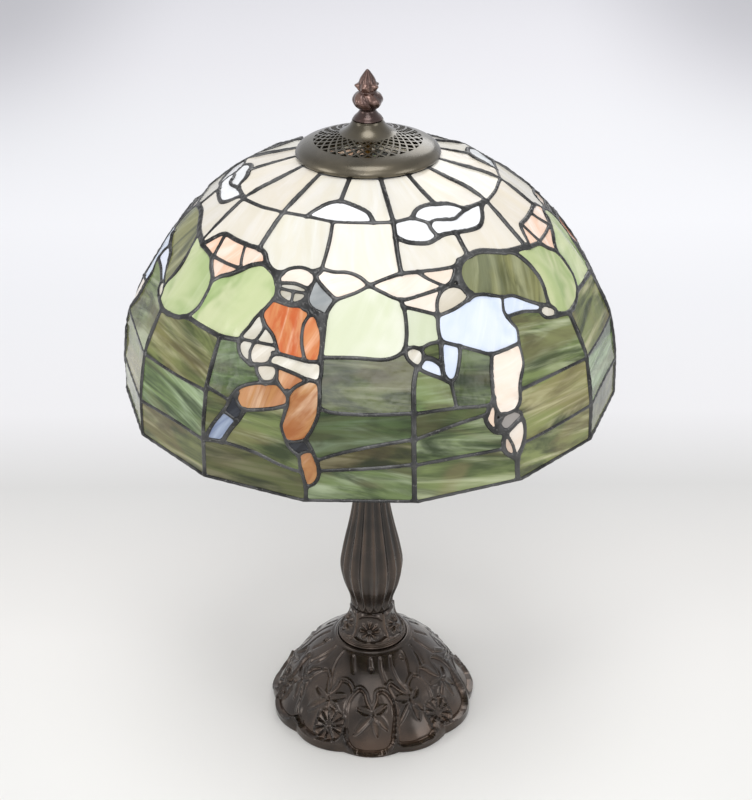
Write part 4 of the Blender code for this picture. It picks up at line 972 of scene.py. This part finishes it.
def near_curve(turns, lengths, curve, scale):
    """Distance in mm from each grid place to a curve, and how far along it the nearest spot is."""
    best = np.full((len(turns), len(lengths)), 99.0)
    share = np.zeros_like(best)
    for n, ((t0, d0), (t1, d1)) in enumerate(zip(curve, curve[1:])):
        x = turned_from(turns, t0)[:, None] * scale[None, :]
        y = (lengths - d0)[None, :] + 0 * x
        dx, dy = (t1 - t0) * scale[None, :], d1 - d0
        part = np.clip((x * dx + y * dy) / (dx * dx + dy * dy + 1e-9), 0, 1)
        gap = np.hypot(x - part * dx, y - part * dy)
        closer = gap < best
        best[closer] = gap[closer]
        share[closer] = ((n + part) / (len(curve) - 1))[closer]
    return best, share


def within(turns, lengths, outline):
    """Whether each grid place is inside a closed outline."""
    odd = np.zeros((len(turns), len(lengths)), bool)
    middle = np.mean([p[0] for p in outline])
    x = (turned_from(turns, middle) + middle)[:, None]
    for (t0, d0), (t1, d1) in zip(outline, [*outline[1:], outline[0]]):
        if d0 == d1:
            continue
        cross = (d0 > lengths) != (d1 > lengths)
        odd ^= cross[None, :] & (x < (t0 + (lengths - d0) * (t1 - t0) / (d1 - d0))[None, :])
    return odd


def step(value, low, high):
    """0 under low, 1 over high, smooth between."""
    t = np.clip((value - low) / (high - low), 0, 1)
    return t * t * (3 - 2 * t)


# %% [markdown]
# ## Cast foot
# The foot is a skirt of overlapping water-lily pads. Each pad is a notched leaf with a rolled
# edge, a star of veins and a boss, and ribs run down between them from the collar. Daisies sit
# on the edge between some of the pads.

# %% Foot drawing
FOOT = [(37, 68.4), (43, 64.3), (51, 58), (61, 49), (71.5, 38.8), (81.3, 27), (88.8, 16), (92.8, 7),
        (93.2, 0.7)]
PAD_A = [(-0.9, -4), (-4.4, -13), (-6.2, -19), (-10.8, -23), (-15.2, -19.5), (-18.8, -11.5),
         (-19.4, -2), (-18.1, 10), (-17.2, 24), (-12, 34), (-5.5, 36), (0.6, 35.8), (7, 34.5), (11.6, 28),
         (13.6, 15), (15.2, 2), (14.9, -9), (12, -17.5), (7.6, -21), (3, -19.5), (2.2, -13)]
PAD_B = [(1.5, -6), (2.2, -14), (10.7, -19.5), (16.9, -14.7), (19.3, -2.7), (17.2, 12.3),
         (13.9, 25), (8.3, 37), (-0.4, 38.6), (-8.8, 38.8), (-14.2, 37), (-14, 23), (-12.3, 7),
         (-13.3, -4), (-15.8, -15), (-12.3, -19.3), (-7.3, -14), (-2.7, -8)]
VEINS = [(-12, 20), (2.5, 20), (9, 15), (-11.5, -3.5), (9.6, -6)]
PADS = [("B", 97, 46, 1.0), ("A", 130, 51, 1.0), ("B", 163, 45, 1.0), ("A", 196, 51, 1.0),
        ("B", 229, 45, 1.0), ("A", 262, 51, 1.0), ("B", 294, 45, 1.0), ("A", 64, 46, 1.15),
        ("A", -34, 46, 1.3), ("B", 29.2, 45, 1.0), ("A", 0.5, 52.8, 1.0)]
DAISIES = [(-28.4, 68), (47, 68), (113, 67), (180 + 32, 67), (180 + 98, 67)]
RIBS = [[(-26.5, 0.5), (-23.2, 7.7), (-19.8, 15.6)], [(-3, 0), (-1.8, 5), (-0.9, 11)],
        [(-42.3, 0), (-43.2, 11), (-40.3, 24), (-35, 38)], [(-59, 0), (-58.5, 13), (-62, 22)],
        [(25.5, 0), (22, 12), (23.6, 25), (29, 37)], [(43.5, 0), (41.5, 9), (36.5, 21)],
        [(63, 0), (56, 16), (49, 30), (49.9, 48)], [(10.5, 0), (9.5, 12), (12, 24)]]
print("foot:", len(PADS), "pads,", len(DAISIES), "daisies,", 3 * len(RIBS), "ribs")

# %% Foot relief
turns = np.arange(600) * 0.6 - 180
lengths, spots, normals = profile_at(FOOT, 100)
scale = spots[:, 0] * math.pi / 180
X, D = np.meshgrid(turns, lengths, indexing="ij")
relief = np.zeros_like(X)
for spin in (0, 120, 240):
    for rib in RIBS:
        gap, share = near_curve(turns, lengths, soft_curve([(t + spin, d) for t, d in rib], 4), scale)
        relief = np.maximum(relief, (1.4 - 0.3 * share) * np.exp(-(gap / (1.1 + 0.5 * share)) ** 2))
for kind, turn, star, stretch in PADS:
    shape = PAD_A if kind == "A" else PAD_B
    outline = [tuple(p) for p in soft_curve(
        [(turn + t * stretch, star + d) for t, d in [*shape, shape[0]]], 4)]
    gap, _ = near_curve(turns, lengths, outline, scale)
    depth = np.where(within(turns, lengths, outline), gap, -gap)
    away = turned_from(X, turn)
    dish = 1.1 + 2.6 * step(D, star - 2, star + 24) - 1.5 * np.exp(-((D - star) / 11) ** 2
                                                                - (away / 10) ** 2)
    dish += 1.3 * (1 - np.exp(-np.maximum(depth, 0) / 5)) + 0.9 * (1 - step(D, star - 24, star - 2))
    edge = 1.0 * np.exp(-((depth - 1.0) / 1.2) ** 2)
    relief = relief * (1 - step(depth, -0.6, 0.5)) + (dish + edge) * step(depth, -0.6, 0.5)
    relief -= 0.6 * np.exp(-((depth + 1.3) / 1.1) ** 2)
    for t, d in VEINS:
        t, d = t * stretch, d * (1.0 if d > 0 else 1.2)
        vein = soft_curve([(turn, star), (turn + 0.5 * t, star + 0.42 * d), (turn + t, star + d)], 4)
        gap, share = near_curve(turns, lengths, vein, scale)
        wide = 0.5 + 1.5 * np.sin(np.pi * np.clip(share, 0, 1)) ** 0.8
        inside_pad = step(depth, 0.2, 1.2)
        relief += inside_pad * (1.5 * np.exp(-(gap / wide) ** 2) - 0.6 * np.exp(-((gap - 1.8 * wide)
                                                                          / (0.7 * wide)) ** 2))
    boss = np.hypot(away * scale[None, :], D - star)
    relief = np.where(boss < 2.3, np.maximum(relief, dish + 2.0 * half_ball(boss, 2.3)), relief)
for turn, place in DAISIES:
    away = turned_from(X, turn) * scale[None, :]
    out, spin = np.hypot(away, D - place), np.arctan2(away, place - D)
    petal = np.abs(np.cos(5.5 * spin))
    longest = 15.5 - 1.2 * np.cos(4 * spin)
    cover = step(petal, 0.22, 0.5) * (1 - step(out, longest - 2.2, longest)) * step(out, 2, 4)
    under = np.clip(relief, 0, 3.0) * 0.75
    leaf = under + 1.1 + 0.7 * petal - 0.3 * np.exp(-((1 - petal) / 0.03)) + 0.05 * out
    flower = np.maximum(under + (leaf - under) * cover, under + 2.8 * half_ball(out, 3.8))
    relief = relief + (flower - relief) * (1 - step(out, longest, longest + 1.5))
for turn, place in ((-1, 12.5), (119, 12.5), (239, 12.5), (38, 7), (158, 7), (278, 7)):
    away = turned_from(X, turn) * scale[None, :]
    bud = np.hypot(away, (D - place) * 0.8)
    relief = np.where(bud < 2.2, np.maximum(relief, 2.2 * half_ball(bud, 2.2)), relief)
quiet = step(np.hypot((np.mod(X, 360) - 180) * scale[None, :], D - 79), 7, 12)
fade = step(D, 0, 3) * (1 - 0.55 * step(D, lengths[-1] - 3, lengths[-1]))
relief = relief * quiet * fade
print("foot relief from %.1f to %.1f mm" % (relief.min(), relief.max()))

# %% Foot casting
middles = sorted(turn % 360 for _, turn, _, _ in PADS)
phase = np.interp(np.mod(X - middles[0], 360) + middles[0], [*middles, middles[0] + 360],
                  range(len(middles) + 1))
lobe = (3.8 * np.abs(np.cos(np.pi * phase)) ** 0.9 - 2.2) * step(D, 40, 84)
radius = spots[None, :, 0] - 1.0 * step(D, 10, 70) + lobe - normals[None, :, 0] * relief
level = np.maximum(spots[None, :, 1] - normals[None, :, 1] * relief * 0.9, 0.7)
rows = [ring_points(6.2, 64.5, turns), ring_points(6.2, 68.7, turns), ring_points(30.6, 68.7, turns),
        ring_points(30.8, 70.3, turns), ring_points(31.6, 71.1, turns), ring_points(32.8, 71.1, turns),
        ring_points(33.8, 70.4, turns), ring_points(34.4, 69.3, turns), ring_points(35.8, 68.8, turns)]
outer = [ring_points(radius[:, n], level[:, n], turns) for n in range(len(lengths))]
inner = [ring_points(np.minimum(r + 0 * turns, radius[:, -1] - 2.5), z, turns) for r, z in (
    (87.5, 0.8), (83, 14), (75, 26), (65, 37), (54, 48), (44, 56), (34, 61.5), (20, 64))]
verts, faces = wrap(rows + outer + inner)
signed = np.zeros((len(rows) + len(outer) + len(inner), len(turns)))
blur = sum(np.roll(relief, s, 0) for s in range(-5, 6)) / 11
wear = 0.6 * step(relief - blur, 0.15, 0.9) + step(relief, 2.6, 5.0) * step(D, 66, 86)
wear = wear - 0.5 * step(blur - relief, 0.1, 1.0)
signed[len(rows):len(rows) + len(outer)] = np.clip(wear, -1, 1).T
keep("cast_foot", verts, faces, look["foot"], "root", 60, ["foot_casting"],
     values={"wear": signed.ravel()})
print("foot triangles:", 2 * len(faces))

# %% [markdown]
# ## Collar and vase
# The collar flares into a grooved ring and carries a star flower under each of five arches. The
# vase above it has sixteen shallow flutes that meet in thin ridges and start in scallops.

# %% Collar
COLLAR = [(29.4, 69.8), (30.5, 70.8), (30.4, 72.4), (29.2, 73.1), (28.9, 73.8), (29.3, 74.7),
          (28.2, 76.4), (25.3, 79.4), (22.2, 83.8), (20.2, 89.2), (19.3, 95.0), (19.0, 99.0),
          (18.5, 101.4)]
turns = np.arange(300) * 1.2 - 180
lengths, spots, normals = profile_at(COLLAR, 64)
scale = spots[:, 0] * math.pi / 180
X, D = np.meshgrid(turns, lengths, indexing="ij")
relief = np.zeros_like(X)
ARCHES = [([(-36, 8), (-33, 14), (-34, 22), (-35, 36)], 2.0), ([(-34, 11), (-20, 8.4), (0, 7.2),
          (20, 8.4), (34, 11)], 1.6), ([(-34, 29), (-20, 33), (0, 34.5), (20, 33), (34, 29)], 1.2)]
for middle in (-6, 66, 138, 210, 282):
    for points, tall in ARCHES:
        gap, _ = near_curve(turns, lengths, soft_curve([(t + middle, d) for t, d in points], 4), scale)
        relief = np.maximum(relief, tall * np.exp(-(gap / 1.5) ** 2))
    away = turned_from(X, middle) * scale[None, :]
    out, spin = np.hypot(away, D - 18.5), np.arctan2(away, 18.5 - D)
    petal = np.abs(np.cos(4 * spin)) ** 2
    relief += np.where(out < 11, 2.0 * petal * step(out, 0.5, 3) * (1 - step(out, 7, 11)), 0)
    relief -= 0.8 * np.exp(-(out / 2.2) ** 2)
    out = np.hypot(away, D - 27)
    relief += 0.8 * np.exp(-((out - 1.4) / 0.7) ** 2)
    relief -= 0.8 * np.exp(-((D - 11) / 2.2) ** 2 - (away / 9) ** 2)
relief *= step(D, 7, 8.5) * (1 - step(D, 34.5, 36))
outer = [ring_points(spots[n, 0] - normals[n, 0] * relief[:, n],
                     spots[n, 1] - normals[n, 1] * relief[:, n], turns) for n in range(len(lengths))]
inner = [ring_points(6.4, 101.4, turns), ring_points(6.4, 69.8, turns)]
verts, faces = wrap(outer + inner)
wear = np.zeros((len(outer) + 2, len(turns)))
proud = 0.7 * step(relief, 0.9, 2.0) + 0.4 * (D < 7)
wear[:len(outer)] = (proud - 0.6 * (1 - step(relief, -0.3, 0.5)) * (D > 8)).T
keep("cast_collar", verts, faces, look["foot"], "root", 60, ["stem_collar"],
     values={"wear": wear.ravel()})
print("collar triangles:", 2 * len(faces))

# %% Fluted vase
VASE = [(18.4, 101.7), (18.9, 105), (20.5, 113.6), (25.2, 127.6), (28.1, 145.6), (25.5, 164.6),
        (20.8, 185.6), (16.8, 206.6), (13.4, 236.6), (12.2, 266.6), (14, 290), (15, 295.9)]
turns = np.arange(384) * (360 / 384) - 180
lengths, spots, normals = profile_at(VASE, 120)
X, D = np.meshgrid(turns, lengths, indexing="ij")
hollow = np.abs(np.sin(np.radians(8 * (X - 5))))
ridge = 1 - hollow ** 1.5
scallop = 6.4 - 4.4 * hollow ** 0.8
body = step(D - scallop, 0.2, 2.6) * (1 - step(D, 190, 194))
depth = 0.105 * spots[None, :, 0] * body * (1 - ridge) + 0.6 * (1 - step(D - scallop, -0.4, 0.5)) * (D < 12)
depth -= 0.5 * np.exp(-((D - scallop + 0.3) / 0.6) ** 2)
outer = [ring_points(spots[n, 0] - np.abs(normals[n, 0]) * depth[:, n], spots[n, 1], turns)
         for n in range(len(lengths))]
inner = [ring_points(6.2, 295.9, turns), ring_points(6.2, 101.7, turns)]
verts, faces = wrap(outer + inner)
wear = np.zeros((len(outer) + 2, len(turns)))
# The flute hollows darken, more so higher up: patina in the hollows, and painted shade standing in for the
# dark underside of the shade reflected in the vase.
flute_patina_and_painted_shade = (0.3 + 0.5 * step(D, 30, 70)) * step(hollow, 0.45, 0.85)
wear[:len(outer)] = ((0.5 * step(ridge, 0.8, 0.99) - flute_patina_and_painted_shade) * body).T
keep("fluted_vase", verts, faces, look["foot"], "root", 60, ["stem_vase"],
     values={"wear": wear.ravel()})
print("vase triangles:", 2 * len(faces))

# %% [markdown]
# ## Vented cap
# The cap is spun from thin sheet, with a rolled rim, and pierced with a net of diamonds so that
# the bulbs' heat can leave. The net is conformal: its holes shrink as the cap narrows.

# %% Pierced cap
CAP = [(56.4, 528.3), (57.3, 529.6), (57.0, 531.4), (55.4, 534.0), (52.5, 536.4), (48.5, 538.2),
       (43, 539.9), (36, 541.8), (28, 544.2), (21.5, 546.6), (17.2, 549.4), (14.4, 552.2),
       (12.6, 555.0), (12.2, 556.3), (8.0, 556.5), (4.0, 556.5)]
NET, PER_HOLE = 28, 16  # holes round the cap, and grid columns to each
CAP_COLUMNS = NET * PER_HOLE
lengths, spots, normals = profile_at(CAP, 110)
round_at = np.arange(CAP_COLUMNS) / PER_HOLE
up_at = np.log(43 / spots[:, 0]) * NET / (2 * math.pi) * 1.05
U, V = np.meshgrid(round_at, up_at, indexing="ij")
first, second = np.mod(U + V + 0.5, 1), np.mod(U - V + 0.5, 1)
gap = np.minimum(np.minimum(first, 1 - first), np.minimum(second, 1 - second)) - 0.125
net = np.minimum(gap, np.minimum(V - 0.02, 3.02 - V) * 0.7)
net[np.abs(net) < 1e-3] = 1e-3
net_cells, _, net_spots = trace(net, len(lengths) - 1)
places, faces, keys = sheet_of(net_cells, net_spots, CAP_COLUMNS, True)
level = np.arange(len(lengths))
across = [np.interp(places[:, 1], level, v) for v in (*spots.T, *normals.T)]
angle = np.radians(places[:, 0] * 360 / CAP_COLUMNS)


def cap_points(depth):
    """The net's points at a depth in mm inwards from the cap's skin."""
    radius, height = across[0] + depth * across[2], across[1] + depth * across[3]
    return np.stack([radius * np.sin(angle), -radius * np.cos(angle), height], -1) / 1000


verts = np.concatenate([cap_points(0), cap_points(0.9)])
polys = two_skins(faces, len(keys))
wear = np.tile(np.exp(-((across[0] - 56.6) / 1.2) ** 2) * 0.8, 2)
keep("pierced_cap", verts, polys, look["cap"], "shade", 50, ["vented_cap"],
     values={"wear": wear})
print("cap triangles:", sum(len(p) - 2 for p in polys))

# %% [markdown]
# ## Finial
# The finial is a cast acorn: a flared foot, an onion wrapped in swirling leaves, five curled leaf
# tips and a pointed bud with fine grooves.

# %% Finial
FINIAL = [(0.4, 0.0), (11.1, 0.0), (11.4, 0.9), (10.5, 2.4), (8.4, 4.4), (6.9, 6.4), (6.9, 8.0),
          (9.2, 10.2), (11.2, 13.6), (11.2, 16.6), (9.4, 19.8), (6.9, 21.8), (6.6, 22.8), (7.0, 24.6),
          (7.0, 27.0), (6.6, 29.2), (5.6, 32.0), (3.8, 35.0), (1.6, 38.2), (0.4, 39.4)]
FINIAL_FOOT = 556.8
turns = np.arange(160) * 2.25 - 180
lengths, spots, normals = profile_at(FINIAL, 110)
X, D = np.meshgrid(turns, lengths, indexing="ij")
tall = spots[None, :, 1] + 0 * X
onion = step(tall, 8.4, 10.5) * (1 - step(tall, 20.5, 22.4))
swirl = np.abs(np.sin(np.radians(2.5 * X + 13 * (tall - 15) * np.cos(np.radians(X * 0.5)))))
leaf = 1.5 * swirl ** 0.6 + 0.35 * np.abs(np.sin(np.radians(7.5 * X + 20 * tall)))
crown = np.exp(-((tall - 26.2) / 1.9) ** 2) * np.abs(np.cos(np.radians(2.5 * (X + 20)))) ** 2
tip = step(tall, 27, 30) * (0.9 * np.abs(np.sin(np.radians(4 * X))) ** 0.7 - 0.5)
low = np.exp(-((tall - 23.8) / 1.0) ** 2) * 0.8 * np.abs(np.cos(np.radians(5 * X)))
relief = onion * (leaf - 1.0) + 3.2 * crown + tip * np.minimum(spots[None, :, 0] / 5, 1) + low
outer = [ring_points(np.maximum(spots[n, 0] + np.abs(normals[n, 0]) * relief[:, n], 0.2),
                     FINIAL_FOOT + spots[n, 1] + 0.4 * crown[:, n], turns) for n in range(len(lengths))]
verts, faces = wrap(outer)
faces = faces[:-len(turns)] + [tuple(range(len(turns)))[::-1],
                               tuple(len(turns) * (len(lengths) - 1) + n for n in range(len(turns)))]
wear = (step(relief, 0.0, 0.7) * (tall > 8)).T.ravel()
keep("cast_finial", verts, faces, look["finial"], "finial", 60, ["finial"],
     values={"wear": wear})
print("finial triangles:", 2 * len(faces))

# %% [markdown]
# ## Lamp holders, bulbs and pull chains
# Under the shade two brass lamp holders lean out from the stem. Each has a spun shell with rolled
# beads, a frosted bulb with a screw base, and a switch worked by a chain of small brass balls.

# %% Turned pieces on a tilted axis
CLUSTER = Vector((0, 0, 0.330))
TILT = math.radians(50)


def turned(name, profile, look_name, body, slot, replaces, place, steps=70, count=64, waves=None):
    """A closed turned piece: profile gives (radius, along) in mm, and place puts it in the lamp."""
    lengths, spots, _ = profile_at(profile, steps)
    turns = np.arange(count) * 360 / count
    rows = []
    for radius, along in spots:
        extra = waves(turns, along) if waves else 0
        rows.append(ring_points(np.maximum(radius + extra, 0.02), along, turns))
    verts, faces = wrap(rows)
    faces = faces[:-count] + [tuple(range(count)), tuple(count * (steps - 1) + n for n in range(count))]
    bm = bmesh.new()
    made = [bm.verts.new(place @ Vector(v)) for v in verts]
    for f in faces:
        bm.faces.new([made[i] for i in f])
    return keep_bmesh(name, bm, look[look_name], body, 50, replaces)


def thread(turns, along):
    """The rolled thread of a bulb's screw base."""
    phase = 2 * math.pi * along / 3.6 - np.radians(turns)
    return 0.45 * np.sin(phase) * (54 < along < 74)


SHELL = [(0.4, 36.4), (12.0, 36.4), (15.6, 37.4), (16.8, 39.4), (16.3, 41.2), (16.9, 43.0), (16.3, 45.0),
         (16.4, 60.0), (17.2, 62.0), (16.5, 63.8), (16.8, 70.0), (17.4, 73.6), (17.2, 75.0),
         (16.6, 74.8), (15.9, 70.0), (15.7, 54.0), (15.6, 51.5), (0.4, 51.3)]
GLASS = [(0.3, 78.4), (12.4, 78.4), (13.2, 80.5), (14.0, 84.0), (17.0, 90.0), (22.4, 97.5), (27.0, 106.0),
         (29.5, 115.0), (29.3, 124.0), (26.0, 134.5), (19.5, 142.6), (10.0, 147.2), (0.3, 148.0)]
BASE = [(0.3, 51.8), (3.8, 51.8), (5.4, 53.0), (10.4, 54.0), (12.6, 55.5), (12.8, 65.0), (12.8, 74.5),
        (13.3, 76.0), (13.2, 78.0), (0.3, 78.1)]
for side, lean in (("left", -1), ("right", 1)):
    place = Matrix.Translation(CLUSTER) @ Matrix.Rotation(lean * TILT, 4, "Y")
    turned(f"spun_shell_{side}", SHELL, "brass", "root", "brass", [f"socket_shell_{side}"], place)
    turned(f"frosted_bulb_{side}", GLASS, "frosted", f"bulb_{side}", "bulb_glass",
           [f"bulb_glass_{side}"], place)
    turned(f"screw_base_{side}", BASE, "brass", f"bulb_{side}", "brass", [f"bulb_base_{side}"], place,
           waves=thread, steps=90, count=72)
print("lamp holders lean", round(math.degrees(TILT)), "degrees from upright")

# %% Ball chains
BELL = [(0.3, 291.6), (1.3, 291.6), (1.7, 290.4), (1.5, 289.2), (2.4, 287.4), (3.2, 284.0), (3.6, 280.8),
        (4.1, 278.6), (3.7, 278.2), (3.1, 279.6), (0.3, 280.4)]
CHAIN_OUT, BALLS, LOWEST, PITCH, BALL = 0.0477, 17, 0.2932, 0.00338, 0.00145
for side, lean in (("left", -1), ("right", 1)):
    bm = bmesh.new()
    for n in range(BALLS):
        spot = Matrix.Translation((lean * CHAIN_OUT, 0, LOWEST + n * PITCH))
        bmesh.ops.create_uvsphere(bm, u_segments=12, v_segments=8, radius=BALL, matrix=spot)
    spot = Matrix.Translation((lean * CHAIN_OUT, 0, 0.3200))
    bmesh.ops.create_cone(bm, cap_ends=True, segments=8, radius1=0.0004, radius2=0.0004, depth=0.056,
                          matrix=spot)
    keep_bmesh(f"ball_chain_{side}", bm, look["brass"], f"pull_chain_{side}", 40,
               [f"pull_chain_{side}"])
    turned(f"chain_bell_{side}", BELL, "brass", f"pull_chain_{side}", "brass", [],
           Matrix.Translation((lean * CHAIN_OUT, 0, 0)), steps=40, count=32)

# %% [markdown]
# ## Frame pieces
# The pieces that stay as the frame has them are small fittings and turned parts. Each gets the
# finish of its own metal.

# %% Finish the frame pieces
FINISH = {"felt_pad": "felt", "base_weight": "iron", "base_washer": "steel", "base_nut": "steel",
          "foot_casting": "foot", "cord_inlet": "plastic", "stem_collar": "foot",
          "stem_vase": "foot", "stem_cap": "foot", "main_pipe": "steel", "cluster_body": "foot",
          "socket_cap": "brass", "socket_shell": "brass", "socket_core": "plastic",
          "riser_rod": "brass", "shade_seat": "brass", "shade_spider": "cap",
          "came_lattice": "solder", "vented_cap": "cap", "finial": "finial",
          "bulb_base": "brass", "bulb_glass": "frosted", "pull_chain": "brass"}
for name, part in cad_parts.items():
    kind = next((v for k, v in FINISH.items() if name.startswith(k)), None)
    finish = look[kind] if kind else glass["cream" if name.startswith("sky") else "field"]
    part.data.materials.clear()
    part.data.materials.append(finish)
print("frame pieces finished:", len(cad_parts))
